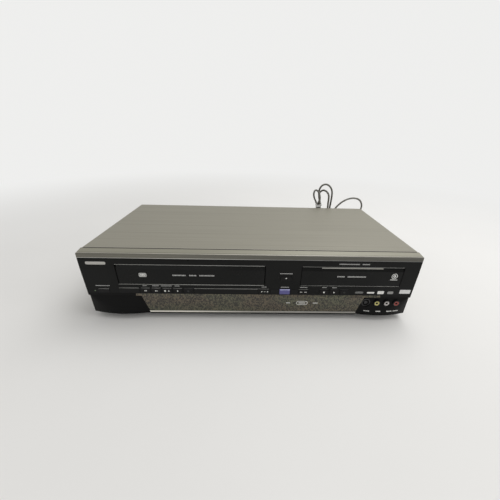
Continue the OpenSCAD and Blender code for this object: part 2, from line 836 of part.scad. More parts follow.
module lower_drum() color("#c6c8ca")
  union() {
    on_drum()
      difference() {
        union() {
          cylinder(r = drum_r, h = 16, $fn = 96);
          translate([0, 0, 6])
            cylinder(r = drum_r + 0.4, h = 2);
        }
        translate([0, 0, 4])
          cylinder(r = 3 + run, h = 20);
      }
    difference() {
      post([vcr_x, drum_y], 16, [deck_top, deck_top + 8]);
      on_drum()
        translate([0, 0, 3])
          cylinder(r = drum_r + 2, h = 20);
    }
  }

module upper_drum() color("#d4d6d8")
  on_drum()
    union() {
      translate([0, 0, 4.3])
        cylinder(r = 3, h = 16);
      difference() {
        translate([0, 0, 16.4])
          cylinder(r = drum_r, h = 17, $fn = 96);
        translate([0, 0, 25])
          cylinder(r = drum_r - 4, h = 10);
      }
      translate([0, 0, 24])
        cylinder(r = 18, h = 12);
      for (a = [0 : 90 : 270])
        rotate([0, 0, a])
          translate([drum_r - 1, -1, 16.1])
            cube([1.1, 2, 2]);
    }

module capstan() color("#b0b2b4")
  translate([vcr_x + capstan_at[0], capstan_at[1], 0])
    union() {
      translate([0, 0, deck_z - 8])
        cylinder(r = 1.5, h = 42);
      translate([0, 0, deck_z - 8])
        difference() {
          cylinder(r = 22, h = 5.5);
          translate([0, 0, 1.5])
            cylinder(r = 18, h = 5);
        }
      translate([0, 0, deck_z - 8])
        cylinder(r = 5, h = 6);
    }

module pinch_arm() color("#9a9c98")
  translate([vcr_x + arm_at[0], arm_at[1], deck_top])
    rotate([0, 0, arm_rest])
      difference() {
        union() {
          translate([0, 0, 8])
            cylinder(r = 5, h = 7);
          translate([0, -3, 8])
            cube([arm_l, 6, 2.5]);
          translate([arm_l, 0, 8])
            cylinder(r = 4, h = 2.5);
          translate([arm_l, 0, 8])
            cylinder(r = 1.5, h = 21);
          translate([arm_l, 0, 27.8])
            cylinder(r = 3, h = 1.2);
        }
        translate([0, 0, 7])
          cylinder(r = 2 + run, h = 10);
      }

module pinch_roller() color("#26262a")
  translate([vcr_x + arm_at[0], arm_at[1], deck_top])
    rotate([0, 0, arm_rest])
      translate([arm_l, 0, 10.8])
        difference() {
          cylinder(r = roller_r, h = 16.7);
          translate([0, 0, -1])
            cylinder(r = 1.5 + run, h = 20);
        }

module reel(s)
  translate([vcr_x + s * reel_pitch / 2, reel_y, deck_top + 2.8])
    difference() {
      union() {
        cylinder(r = reel_r, h = 2.6);
        translate([0, 0, 2])
          cylinder(r = 13, h = 2);
        cylinder(r = 4.2, h = 14);
        for (a = [0, 120, 240])
          rotate([0, 0, a])
            translate([0, -0.8, 2])
              cube([7.2, 1.6, 11]);
      }
      translate([0, 0, -1])
        cylinder(r = 2 + run, h = 12.4);
    }

module supply_reel() color("#e4e0d4") reel(-1);
module takeup_reel() color("#e4e0d4") reel(1);

module tape_guide(s)
  translate([vcr_x + s * guide_from[0], guide_from[1], 0])
    rotate([0, 0, -s * guide_turn])
      union() {
        translate([-4.5, -5.5, deck_top + fit])
          cube([9, 11, 3]);
        translate([0, 0, deck_z - 2])
          cylinder(r = 1.9, h = 6);
        translate([0, 0, deck_z - 2])
          cylinder(r = 3.8, h = 1.4);
        translate([0, 2, deck_top + 2])
          cylinder(r = 2.6, h = 20);
        translate([0, 2, deck_top + 20])
          cylinder(r = 3.4, h = 1.6);
      }

module supply_guide() color("#cfd2d4") tape_guide(-1);
module takeup_guide() color("#cfd2d4") tape_guide(1);

module tape_heads() color("#8e9092")
  union() {
    // Erase head, sound and control head, each on its post, and two fixed guides
    post([vcr_x - 60, 34], 3, [deck_top, deck_top + 8]);
    block([vcr_x - 66, vcr_x - 54], [29, 37], [deck_top + 8, deck_top + 28]);
    post([vcr_x + 62, 38], 3, [deck_top, deck_top + 8]);
    block([vcr_x + 55, vcr_x + 69], [34, 43], [deck_top + 8, deck_top + 30]);
    post([vcr_x - 72, 16], 2, [deck_top, deck_top + 24]);
    post([vcr_x - 72, 16], 3.2, [deck_top, deck_top + 6]);
  }

// ---------- disc side ----------

module loader_frame() color("#2a2c2c")
  difference() {
    union() {
      for (s = [-1, 1])
        union() {
          block(pair(tray_x, s, loader_in, loader_out), [loader_front, loader_back],
                [loader_z, tray_top + 5]);
          block(pair(tray_x, s, loader_in - 4.5, loader_in + 1), [loader_front, loader_back],
                [tray_low - 2.5, tray_low - fit]);
          block(pair(tray_x, s, loader_in - 3.3, loader_in + 1), [loader_front, loader_back],
                [tray_top + fit, tray_top + 2]);
          block(pair(tray_x, s, loader_in, loader_out), [disc_y - 17, disc_y + 17],
                [tray_top + 4, bridge_z + 1.5]);
          // Ears that carry the drive unit's pivots
          block(pair(tray_x, s, ear_in, ear_out), [pivot_y - 5, pivot_y + 5],
                [loader_z, pivot_z + 4.7]);
          block(pair(tray_x, s, ear_in + 1, loader_out), [loader_front, loader_back],
                [loader_z, loader_floor]);
        }
      block([tray_x - loader_out, tray_x + loader_out], [loader_front, disc_y - 23],
            [loader_z, loader_floor]);
      block([tray_x - loader_out, tray_x + loader_out], [loader_back - 2, loader_back],
            [loader_z, tray_top + 5]);
      block([tray_x - loader_out, tray_x + loader_out], [disc_y - 17, disc_y + 17],
            [bridge_z, bridge_z + 1.5]);
      post([tray_x + gear_at[0], gear_at[1]], 2, [loader_z, gear_z + gear_h]);
      post([tray_x + gear_at[0], gear_at[1]], 4, [loader_z, gear_z - fit]);
    }
    post([tray_x, disc_y], 11, [bridge_z - 1, bridge_z + 3]);
    rod_x_bar(pivot_y, pivot_z, 2 + run, [tray_x - ear_out - 1, tray_x + ear_out + 1]);
  }

// A straight rack: its teeth point to +X from the pitch line at x
module rack(x, y, z)
  let (p = PI * gear_m)
    translate([x, gear_at[1], z[0]])
      linear_extrude(z[1] - z[0])
        union() {
          translate([-5, y[0] - gear_at[1]])
            square([3.7, y[1] - y[0]]);
          for (i = [ceil((y[0] - gear_at[1]) / p) + 1 : floor((y[1] - gear_at[1]) / p) - 1])
            translate([0, (i + 0.5) * p])
              polygon([[-1.4, -1.15], [0.95, -0.3], [0.95, 0.3], [-1.4, 1.15]]);
        }

module disc_tray() color("#232525")
  difference() {
    union() {
      block([tray_x - tray_w / 2, tray_x + tray_w / 2], [tray_front, tray_back],
            [tray_plate, tray_top]);
      for (s = [-1, 1])
        block(pair(tray_x, s, tray_w / 2 - 4, tray_w / 2), [tray_front, tray_back],
              [tray_low, tray_plate]);
      rack(tray_x + gear_at[0] - gear_pitch_r, [tray_front + 4, tray_back - 2],
           [gear_z + 1, tray_plate]);
    }
    post([tray_x, disc_y], disc_d / 2, [tray_top - 2.5, tray_top + 1]);
    post([tray_x, disc_y], 41, [tray_top - 3.6, tray_top + 1]);
    // Slot over the drive unit, open at the back so that the tray slides clear of it
    block([tray_x - slot_half, tray_x + slot_half], [disc_y - 20, tray_back + 1],
          [tray_low - 1, tray_top + 1]);
    // Hollows under the front of the plate
    for (x = [-14, 28])
      block([tray_x + x - 9, tray_x + x + 9], [tray_front + 6, tray_front + 36],
            [tray_plate - 1, tray_plate + 1]);
  }

module tray_door() color("#1e1f1e")
  along_x([tray_x - door_w / 2, tray_x + door_w / 2])
    polygon([
      [face_y, door_z], [face_y, fold_z], [face_y + bevel, door_z + door_h],
      [face_y + bevel + 2, door_z + door_h], [face_y + door_t, fold_z - 3],
      [face_y + door_t, door_z]
    ]);

// A gear whose gaps are cut from a disc, with straight flanks and some backlash
module pinion(teeth, h)
  let (r = gear_m * teeth / 2, root = 0.3, spread = tan(20 + 90 / teeth))
    linear_extrude(h)
      difference() {
        circle(r + 0.95);
        for (i = [0 : teeth - 1])
          rotate(360 / teeth * (i + 0.5))
            polygon([
              [r - 1.25, -root], [r + 1.5, -root - 2.75 * spread],
              [r + 1.5, root + 2.75 * spread], [r - 1.25, root]
            ]);
        circle(2 + run);
      }

module tray_gear() color("#e2ddd0")
  translate([tray_x + gear_at[0], gear_at[1], gear_z])
    rotate([0, 0, 180])
      pinion(gear_teeth, gear_h);

// The drive unit is drawn level, as it plays, and lowered about its rear pivot
module lowered()
  translate([tray_x, pivot_y, pivot_z])
    rotate([traverse_drop, 0, 0])
      translate([0, -pivot_y, -pivot_z])
        children();

module traverse_frame() color("#6f7472")
  lowered()
    union() {
      difference() {
        block([-unit_half, unit_half], [disc_y - 16.5, pivot_y + 5], [plate_low, plate_high]);
        block([-30, 30], [disc_y + 15, pivot_y - 10], [plate_low - 1, plate_high + 1]);
      }
      for (s = [-1, 1])
        rod_x_bar(pivot_y, pivot_z, 2, pair(0, s, unit_half - 1, ear_out - 0.5));
      // Spindle motor
      difference() {
        post([0, disc_y], 13, [plate_high, disc_seat - 2.4]);
        post([0, disc_y], 1 + run, [plate_high - 1, disc_seat]);
      }
      // Rod that carries the pickup
      rod_y(-rod_x, pivot_z + 1, rod_r, [disc_y + 13, pivot_y - 8]);
    }

module turntable() color("#35383a")
  lowered()
    translate([0, disc_y, 0])
      union() {
        translate([0, 0, disc_seat - 2])
          cylinder(r = 14.5, h = 2);
        translate([0, 0, disc_seat])
          cylinder(r1 = 7.4, r2 = 6.2, h = 2.2);
        translate([0, 0, plate_high + 0.2])
          cylinder(r = 1, h = disc_seat - plate_high - 1);
      }

module optical_pickup() color("#4a4e58")
  lowered()
    difference() {
      union() {
        block([-rod_x - 2.6, -rod_x + 3], pickup_y, [plate_low - 1, plate_high]);
        block([-rod_x + 2.5, rod_x - 3], pickup_y, [plate_low - 1, plate_high + 1]);
        block([-17, 17], pickup_y, [plate_high, disc_seat - 2.4]);
        block([rod_x - 3.2, rod_x + 2.6], [pickup_y[0] + 8, pickup_y[0] + 16],
              [plate_low - 1, pivot_z - 1.2]);
        post([0, pickup_y[0] + 9], 3.2, [disc_seat - 3, disc_seat - 1.6]);
      }
      rod_y(-rod_x, pivot_z + 1, rod_r + run, [disc_y, pivot_y]);
    }

module lead_screw() color("#c9ccce")
  lowered()
    union() {
      rod_y(rod_x, pivot_z + 1, screw_r, [disc_y + 15.3, pivot_y - 10.3]);
      for (y = [disc_y + 17 : screw_pitch : pivot_y - 12])
        rod_y(rod_x, pivot_z + 1, screw_r + 0.25, [y, y + 1.2]);
    }

module disc_clamp() color("#d8d8d0")
  translate([tray_x, disc_y, 0])
    difference() {
      union() {
        translate([0, 0, tray_top + clamp_gap])
          cylinder(r = 14, h = 3.4);
        translate([0, 0, tray_top + 3])
          cylinder(r = 10, h = bridge_z - tray_top);
        translate([0, 0, bridge_z + 1.5 + fit])
          cylinder(r = 14, h = 1.5);
      }
      translate([0, 0, tray_top])
        cylinder(r = 8.2, h = 2.6);
    }

// ---------- electronics and rear ----------

// Holes for the posts that carry the disc drive through a board
module post_holes()
  for (p = loader_posts)
    post(p, 4, [pcb_z - 1, pcb_top + 1]);

module main_board() color("#2f6b3c")
  union() {
    difference() {
      block(main_x, [-88, 98], [pcb_z, pcb_top]);
      post_holes();
    }
    block([vcr_x - deck_half + 1, main_x[0]], [82.5, 98], [pcb_z, pcb_top]);
    // Processors, memory, coils, capacitors and plugs
    translate([main_x[0], 0, pcb_top]) {
      block([34, 62], [-10, 18], [0, 2.4]);
      block([14, 28], [-40, -26], [0, 1.8]);
      block([70, 86], [-44, -34], [0, 1.4]);
      block([70, 86], [-28, -18], [0, 1.4]);
      for (i = [0 : 5])
        post([10 + i * 15, 38], 4, [0, 11]);
      for (i = [0 : 3])
        block([8 + i * 20, 20 + i * 20], [-76, -70], [0, 7]);
      block([4, 8], [-20, 30], [0, 9]);
    }
  }

module power_board() color("#b78f4e")
  union() {
    difference() {
      block(power_x, [-4, 86], [pcb_z, pcb_top]);
      post_holes();
    }
    // Transformer, filter coil, capacitors, heat sinks and fuse
    translate([power_x[0], 0, pcb_top]) {
      block([21, 51], [22, 50], [0, 21]);
      block([55, 75], [62, 80], [0, 18]);
      post([65, 36], 10, [0, 21]);
      for (i = [0 : 3])
        post([9 + i * 12, 8], 4.5, [0, 15]);
      block([5, 8], [24, 56], [0, 20]);
      block([19, 47], [58, 60], [0, 20]);
      rod_y(39, 4, 2.6, [64, 84]);
      for (y = [65, 79])
        block([36.5, 41.5], [y, y + 4], [0, 2]);
    }
  }

// A round audio or video socket on the rear, its mouth towards +Y
module round_socket_rear(x, z, r, tip, hole)
  difference() {
    rod_y(x, z, r, [panel_in - 3, tip]);
    rod_y(x, z, hole, [tip - 8, tip + 1]);
  }

module rear_jacks() color("#26282a")
  union() {
    block([rear_x - 9, rear_x + 5 * rear_pitch + 9], [84, panel_in], [pcb_top, foot_h + 48]);
    for (i = [0 : 5], z = rear_z)
      round_socket_rear(rear_x + i * rear_pitch, z, barrel_r, panel_out + 9, 1.7);
    block([tuner_x - 12, tuner_x + 12], [62, panel_in], [floor_z, foot_h + 66]);
    for (z = aerial_z)
      round_socket_rear(tuner_x, z, aerial_r, cover_back + rear_reach, 1.2);
  }

module fan_frame() color("#1d1e1f")
  difference() {
    union() {
      difference() {
        block([fan_x - fan_s / 2, fan_x + fan_s / 2], [panel_in - fan_t, panel_in],
              [fan_z - fan_s / 2, fan_z + fan_s / 2]);
        rod_y(fan_x, fan_z, 18.6, [panel_in - fan_t - 1, panel_in + 1]);
      }
      for (a = [45 : 90 : 315])
        translate([fan_x, 0, fan_z])
          rotate([0, a, 0])
            block([6, 19.2], [panel_in - 2, panel_in - 0.4], [-1, 1]);
      rod_y(fan_x, fan_z, 8, [panel_in - 2, panel_in]);
      rod_y(fan_x, fan_z, 1.5, [panel_in - 8, panel_in - 1]);
    }
    for (x = [-16, 16], z = [-16, 16])
      rod_y(fan_x + x, fan_z + z, 1.7, [panel_in - fan_t - 1, panel_in + 1]);
  }

module fan_rotor() color("#2a2c2e")
  difference() {
    union() {
      rod_y(fan_x, fan_z, 8.5, [panel_in - fan_t + 0.4, panel_in - 2.5]);
      for (a = [0 : 360 / 7 : 359])
        translate([fan_x, panel_in - 6, fan_z])
          rotate([0, a, 0])
            translate([8, 0, 0])
              rotate([35, 0, 0])
                translate([0, -0.5, -4])
                  cube([10, 1, 8]);
    }
    rod_y(fan_x, fan_z, 1.5 + run, [panel_in - 8.2, panel_in]);
  }

// ---------- mains lead ----------

module strain_relief() color("#1c1c1c")
  union() {
    rod_y(exit_x, exit_z, 7.4, [panel_in - 2.2, panel_in]);
    rod_y(exit_x, exit_z, 5.2, [panel_in - 0.5, panel_out + 0.5]);
    rod_y(exit_x, exit_z, 7, [panel_out, panel_out + 3]);
    translate([exit_x, panel_out + 2.5, exit_z])
      rotate([-90, 0, 0])
        cylinder(r1 = 5.4, r2 = cord_d / 2 + 0.9, h = exit_y - panel_out - 2.5);
  }

// Points on a smooth curve through a route's own points
function curve(p, i, t) =
  let (n = len(p) - 1,
       a = p[max(i - 1, 0)], b = p[i], c = p[min(i + 1, n)], d = p[min(i + 2, n)])
    0.5 * (2 * b + (c - a) * t + (2 * a - 5 * b + 4 * c - d) * t * t
           + (3 * b - a - 3 * c + d) * t * t * t);

function smooth(p, steps) = concat(
  [for (i = [0 : len(p) - 2], j = [0 : steps - 1]) curve(p, i, j / steps)],
  [p[len(p) - 1]]
);

function unit(v) = v / norm(v);
function heading(p, i) = unit(p[min(i + 1, len(p) - 1)] - p[max(i - 1, 0)]);

// A tube swept along a route, its rings square to the way
module tube(p, r, sides = 8)
  let (n = len(p),
       up = [0.13, 0.31, 0.94],
       rings = [
         for (i = [0 : n - 1])
           let (f = heading(p, i), u = unit(cross(f, up)), v = cross(f, u))
             for (k = [0 : sides - 1])
               p[i] + r * (u * cos(360 * k / sides) + v * sin(360 * k / sides))
       ],
       skin = [
         for (i = [0 : n - 2], k = [0 : sides - 1])
           [i * sides + k, i * sides + (k + 1) % sides,
            (i + 1) * sides + (k + 1) % sides, (i + 1) * sides + k]
       ],
       start = [[for (k = [0 : sides - 1]) sides - 1 - k]],
       end = [[for (k = [0 : sides - 1]) (n - 1) * sides + k]])
    polyhedron(points = rings, faces = concat(start, skin, end));

module power_cord() color("#22211f")
  union() {
    tube(smooth(lead_up, 2), cord_d / 2);
    tube(smooth(lead_down, 2), cord_d / 2);
  }

module cord_hank() color("#26241f")
  translate([0, hank_y[1], 0])
    rotate([90, 0, 0])
      linear_extrude(hank_y[1] - hank_y[0])
        union() {
          translate([hank_x - hank_w / 2, fit + hank_w / 2])
            square([hank_w, hank_h - hank_w]);
          for (z = [hank_w / 2, hank_h - hank_w / 2])
            translate([hank_x, fit + z])
              circle(hank_w / 2);
        }

module plug() color("#1c1c1c")
  translate(plug_at)
    union() {
      rotate([0, -90, 0])
        cylinder(r1 = cord_d / 2 + 0.8, r2 = 5, h = 12);
      block([-24, -10], [-9, 9], [-6.5, 6.5]);
      for (y = [-6.35, 6.35])
        block([-41, -23], [y - 0.75, y + 0.75], [-3.2, 3.2]);
    }

// ---------- assembly ----------

chassis_pan();
top_cover();
rear_panel();
front_bezel();
top_trim();
display_window();
window_trim();
feet();
screws();
power_button();
rewind_button();
forward_button();
stop_eject_button();
vcr_play_button();
vcr_record_button();
channel_rocker();
dubbing_button();
select_button();
dvd_stop_button();
dvd_play_button();
dvd_record_button();
open_close_button();
front_board();
display_module();
s_video_jack();
front_jacks();
cassette_flap();
flap_spring();
deck_plate();
side_brackets();
carriage_slider();
cassette_basket();
lower_drum();
upper_drum();
capstan();
pinch_arm();
pinch_roller();
supply_reel();
takeup_reel();
supply_guide();
takeup_guide();
tape_heads();
loader_frame();
disc_tray();
tray_door();
tray_gear();
traverse_frame();
turntable();
optical_pickup();
lead_screw();
disc_clamp();
main_board();
power_board();
rear_jacks();
fan_frame();
fan_rotor();
strain_relief();
power_cord();
cord_hank();
plug();
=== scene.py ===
from math import cos, pi, radians, sin

import bmesh
import bpy
from mathutils import Matrix, Vector
from mathutils.bvhtree import BVHTree


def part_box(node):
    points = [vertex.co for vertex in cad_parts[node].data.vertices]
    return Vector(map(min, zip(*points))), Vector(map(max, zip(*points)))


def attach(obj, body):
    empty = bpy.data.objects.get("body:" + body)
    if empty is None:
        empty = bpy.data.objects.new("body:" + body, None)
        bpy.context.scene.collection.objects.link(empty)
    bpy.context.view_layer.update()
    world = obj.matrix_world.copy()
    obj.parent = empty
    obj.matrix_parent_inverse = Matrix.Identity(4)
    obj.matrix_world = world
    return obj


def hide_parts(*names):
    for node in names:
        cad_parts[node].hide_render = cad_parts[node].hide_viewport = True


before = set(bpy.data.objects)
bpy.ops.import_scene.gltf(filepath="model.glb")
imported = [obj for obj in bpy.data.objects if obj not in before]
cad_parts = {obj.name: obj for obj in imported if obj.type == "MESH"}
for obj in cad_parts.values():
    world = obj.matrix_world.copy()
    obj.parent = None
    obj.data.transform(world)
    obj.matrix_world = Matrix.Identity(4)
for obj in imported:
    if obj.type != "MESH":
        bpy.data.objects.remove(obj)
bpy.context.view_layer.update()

MM = 0.001

# Levels and places on the cabinet, in millimetres, as the solids have them
FACE = -110.5
KEY_FACE = FACE - 0.5
WINDOW_FACE = FACE - 0.8
BACK = 104.5
PANEL = 103.3
TRIM_LEFT, TRIM_RIGHT = (corner[0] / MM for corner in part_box("top_trim"))
COVER_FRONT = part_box("top_cover")[0][1] / MM
COVER_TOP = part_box("top_cover")[1][2] / MM
FLAP = (-173, 15)
DOOR = (63.5, 196.5)
KEY_TOP = 48.0
# Middles of the keys and sockets, counted from the left
KEY_PITCH = 13.95
TAPE_KEYS = [-141.2 + KEY_PITCH * i for i in range(5)]
DISC_KEYS = [96.2 + KEY_PITCH * i for i in range(3)]
S_VIDEO = 157.2
FRONT_SOCKETS = [172.2 + 13.7 * i for i in range(3)]
SOCKET_LEVEL = 27.8
REAR_SOCKETS = [-52 + 16 * i for i in range(6)]
REAR_ROWS = (29.5, 47.5)
# How proud a print stands
INK = 0.07

FRONTWARD, BACKWARD = (0, -1, 0), (0, 1, 0)
UPRIGHT = Matrix.Rotation(pi / 2, 3, "X")
BACKDROP = (0.86, 0.86, 0.85)
PLAIN = (1, 1, 1)


# ---------- tools for materials ----------

def feed(owner, value, socket):
    """Gives a socket its fixed value, or links it to the output that feeds it."""
    if isinstance(value, bpy.types.NodeSocket):
        owner.node_tree.links.new(value, socket)
    elif socket.type == "RGBA":
        socket.default_value = (*value, 1)
    else:
        socket.default_value = value


def add_node(owner, kind, sockets=None, **settings):
    """Adds a node to a material or the world, with its settings and what its sockets get."""
    made = owner.node_tree.nodes.new("ShaderNode" + kind)
    for name, value in settings.items():
        setattr(made, name, value)
    for name, value in (sockets or {}).items():
        feed(owner, value, made.inputs[name])
    return made


def worked_out(owner, operation, *values):
    return add_node(owner, "Math", dict(enumerate(values)), operation=operation).outputs[0]


def show_mixed(owner, amount, first, second, output):
    mix = add_node(owner, "MixShader", {0: amount, 1: first.outputs[0], 2: second.outputs[0]})
    feed(owner, mix.outputs[0], owner.node_tree.nodes[output].inputs["Surface"])


def shader_of(coat):
    return coat.node_tree.nodes["Principled BSDF"]


def set_shader(coat, sockets):
    for name, value in sockets.items():
        feed(coat, value, shader_of(coat).inputs[name])


def finish(name, colour, roughness, metallic=0.0):
    coat = bpy.data.materials.new(name)
    coat.use_nodes = True
    set_shader(coat, {"Base Color": colour, "Roughness": roughness, "Metallic": metallic})
    return coat


def times(colour, amount, more=0.0):
    return tuple(part * amount + more for part in colour)


def own_coordinates(coat, stretch=PLAIN, turn=(0, 0, 0), place=None):
    """The piece's own coordinates, or others that are given, stretched and turned."""
    if place is None:
        place = add_node(coat, "TexCoord").outputs["Object"]
    mapping = add_node(coat, "Mapping", {"Scale": stretch, "Rotation": turn, "Vector": place})
    return mapping.outputs["Vector"]


def grain(coat, scale, stretch=PLAIN, detail=3.0, turn=(0, 0, 0), place=None):
    at = own_coordinates(coat, stretch, turn, place)
    noise = add_node(coat, "TexNoise", {"Scale": scale, "Detail": detail, "Vector": at})
    return noise.outputs["Fac"]


def ramp(coat, value, low, high, start=0.3, end=0.7):
    """Two colours across the middle of a pattern."""
    band = add_node(coat, "ValToRGB", {"Fac": value})
    for stop, at, colour in zip(band.color_ramp.elements, (start, end), (low, high)):
        stop.position = at
        stop.color = (*colour, 1)
    return band.outputs["Color"]


def tone(coat, *pattern):
    set_shader(coat, {"Base Color": ramp(coat, *pattern)})


def blend_colours(coat, amount, first, second, way="MIX"):
    mix = add_node(coat, "Mix", {0: amount, 6: first, 7: second},
                   data_type="RGBA", blend_type=way)
    return mix.outputs[2]


def tint(coat, colours):
    """Multiplies what feeds the finish's colour."""
    paint = shader_of(coat).inputs["Base Color"].links[0].from_socket
    set_shader(coat, {"Base Color": blend_colours(coat, 1.0, paint, colours, "MULTIPLY")})


def sheen_varies(coat, value, low, high):
    spread = add_node(coat, "MapRange", {"From Min": 0.25, "From Max": 0.75,
                                         "To Min": low, "To Max": high, "Value": value})
    set_shader(coat, {"Roughness": spread.outputs["Result"]})


def relief(coat, value, depth, strength):
    bump = add_node(coat, "Bump", {"Strength": strength, "Distance": depth, "Height": value})
    set_shader(coat, {"Normal": bump.outputs["Normal"]})


def where_above(coat, axis, level, soft=0.0002):
    """One where the place along an axis is past a level in metres, nought before it."""
    place = add_node(coat, "TexCoord").outputs["Object"]
    parts = add_node(coat, "SeparateXYZ", {0: place})
    step = add_node(coat, "MapRange", {"From Min": level - soft, "From Max": level + soft,
                                       "Value": parts.outputs[axis]})
    return step.outputs["Result"]


def faded_along(coat, axis, middle, soft, first, second):
    """Tints a finish differently before and after a place along an axis, in metres."""
    past = where_above(coat, axis, middle, soft)
    tint(coat, ramp(coat, past, first, second, 0, 1))
    return coat


# ---------- tools for shapes ----------

def placed(name, data):
    made = bpy.data.objects.new(name, data)
    bpy.context.scene.collection.objects.link(made)
    return made


def piece_from(shape, name, smooth=False):
    mesh = bpy.data.meshes.new(name)
    shape.to_mesh(mesh)
    shape.free()
    for face in mesh.polygons:
        face.use_smooth = smooth
    return placed(name, mesh)


def fit_out(shape, name, material, body="cabinet", smooth=False):
    """Turns a shape drawn in millimetres into a piece that rides on a body."""
    bmesh.ops.scale(shape, vec=(MM, MM, MM), verts=shape.verts)
    made = piece_from(shape, name, smooth)
    made.data.materials.append(material)
    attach(made, body)
    return made


def drawn(tool, rows):
    """A fresh shape, with one form for each row of a tool's values."""
    shape = bmesh.new()
    for row in rows:
        tool(shape, *row)
    return shape


def edges_on(verts):
    return list({edge for v in verts for edge in v.link_edges})


def faces_on(verts):
    return list({face for v in verts for face in v.link_faces})


def thicken(shape, faces, way):
    """Draws faces out along a way and gives the corners of the far side."""
    grown = bmesh.ops.extrude_face_region(shape, geom=faces)["geom"]
    far = [v for v in grown if isinstance(v, bmesh.types.BMVert)]
    bmesh.ops.translate(shape, vec=way, verts=far)
    return far


def settle(shape, verts, way, at):
    """Turns a form from the Z axis to its own, takes it to its place and faces it outwards."""
    turn = Vector((0, 0, 1)).rotation_difference(Vector(way)).to_matrix()
    bmesh.ops.rotate(shape, verts=verts, cent=(0, 0, 0), matrix=turn)
    bmesh.ops.translate(shape, vec=at, verts=verts)
    bmesh.ops.recalc_face_normals(shape, faces=faces_on(verts))


def about(middle, half):
    return (middle - half, middle + half)


def inked(face, proud=INK, sunk=0.02):
    """How far a print stands out from a face and reaches into it."""
    return (face - proud, face + sunk)


def bar(shape, x, y, z, corner=0.0, along="xyz", segments=3):
    """A bar between its bounds; the edges that run along the named axes are rounded."""
    corners = bmesh.ops.create_cube(shape, size=1)["verts"]
    bmesh.ops.scale(shape, vec=[b - a for a, b in (x, y, z)], verts=corners)
    bmesh.ops.translate(shape, vec=[(a + b) / 2 for a, b in (x, y, z)], verts=corners)
    if corner:
        edges = []
        for edge in edges_on(corners):
            way = edge.verts[0].co - edge.verts[1].co
            axis = max(range(3), key=lambda i: abs(way[i]))
            if "xyz"[axis] in along:
                edges.append(edge)
        bmesh.ops.bevel(shape, geom=edges, offset=corner, segments=segments, profile=0.5,
                        affect="EDGES", material=-1)


def mark(shape, sides, radius, at, turn=0.0, proud=INK):
    """A flat printed mark with that many corners, facing the front."""
    sunk = 0.02
    rim = bmesh.ops.create_circle(shape, cap_ends=True, segments=sides, radius=radius)["verts"]
    bmesh.ops.rotate(shape, verts=rim, cent=(0, 0, 0), matrix=Matrix.Rotation(turn, 3, "Z"))
    bmesh.ops.rotate(shape, verts=rim, cent=(0, 0, 0), matrix=UPRIGHT)
    bmesh.ops.translate(shape, vec=(at[0], at[1] + sunk, at[2]), verts=rim)
    thicken(shape, faces_on(rim), (0, -proud - sunk, 0))


def ring(shape, inner, outer, at, way, thick, sides=32, drawn_apart=0.0):
    """A flat ring about an axis through a point, thick along it; drawn apart, it is an oval."""
    verts = []
    for radius in (inner, outer):
        verts += bmesh.ops.create_circle(shape, segments=sides, radius=radius)["verts"]
    for v in verts:
        v.co.x += drawn_apart if v.co.x > 0 else -drawn_apart
    faces = bmesh.ops.bridge_loops(shape, edges=edges_on(verts))["faces"]
    settle(shape, verts + thicken(shape, faces, (0, 0, thick)), way, at)


def turned(shape, profile, at, way, sides=32):
    """A lathe-turned shape from radius and distance pairs along an axis, closed at its ends."""
    before = set(shape.verts)
    verts = [shape.verts.new((r, 0, d)) for r, d in profile]
    edges = [shape.edges.new(pair) for pair in zip(verts, verts[1:])]
    bmesh.ops.spin(shape, geom=verts + edges, cent=(0, 0, 0), axis=(0, 0, 1),
                   angle=2 * pi, steps=sides, use_merge=True)
    made = [v for v in shape.verts if v not in before]
    bmesh.ops.remove_doubles(shape, verts=made, dist=0.0005)
    settle(shape, [v for v in shape.verts if v not in before], way, at)


def bead(shape, x, at, radius):
    """A round bead along the cabinet's width."""
    rim = bmesh.ops.create_cone(shape, cap_ends=True, segments=10, radius1=radius,
                                radius2=radius, depth=x[1] - x[0])["verts"]
    bmesh.ops.rotate(shape, verts=rim, cent=(0, 0, 0), matrix=Matrix.Rotation(pi / 2, 3, "Y"))
    bmesh.ops.translate(shape, vec=((x[0] + x[1]) / 2, *at), verts=rim)


def front_of(node):
    """Gives the foremost level of a node at a place on the front, in millimetres."""
    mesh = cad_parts[node].data
    tree = BVHTree.FromPolygons([v.co for v in mesh.vertices],
                                [list(p.vertices) for p in mesh.polygons])

    def level(x, z):
        met = tree.ray_cast(Vector((x * MM, -0.2, z * MM)), Vector(BACKWARD))[0]
        return met.y / MM

    return level


def wire(name, line, radius, material):
    curve = bpy.data.curves.new(name, "CURVE")
    curve.dimensions = "3D"
    curve.bevel_depth = radius * MM
    curve.bevel_resolution = 4
    curve.use_fill_caps = True
    spline = curve.splines.new("POLY")
    spline.points.add(len(line) - 1)
    for place, at in zip(spline.points, line):
        place.co = (*(at * MM), 1)
    spline.use_smooth = True
    curve.materials.append(material)
    return placed(name, curve)


# ---------- camera, floor and light ----------

def set_up_camera():
    pitch, roll, yaw = 0.4898, 0.0295, 0.0356
    stand = Vector((-5.01, -396.29, 239.35)) * MM
    ahead = Vector((sin(yaw) * cos(pitch), cos(yaw) * cos(pitch), -sin(pitch)))
    level = Vector((cos(yaw), -sin(yaw), 0))
    over = level.cross(ahead)
    right = cos(roll) * level + sin(roll) * over
    up = -sin(roll) * level + cos(roll) * over
    turn = Matrix((right, up, -ahead)).transposed().to_4x4()
    lens = bpy.data.cameras.new("camera")
    lens.sensor_width = 36
    lens.lens = 18.487
    lens.shift_x = -0.01464
    lens.shift_y = 0.02697
    lens.clip_start = 0.01
    camera = placed("camera", lens)
    camera.matrix_world = Matrix.Translation(stand) @ turn
    bpy.context.scene.camera = camera


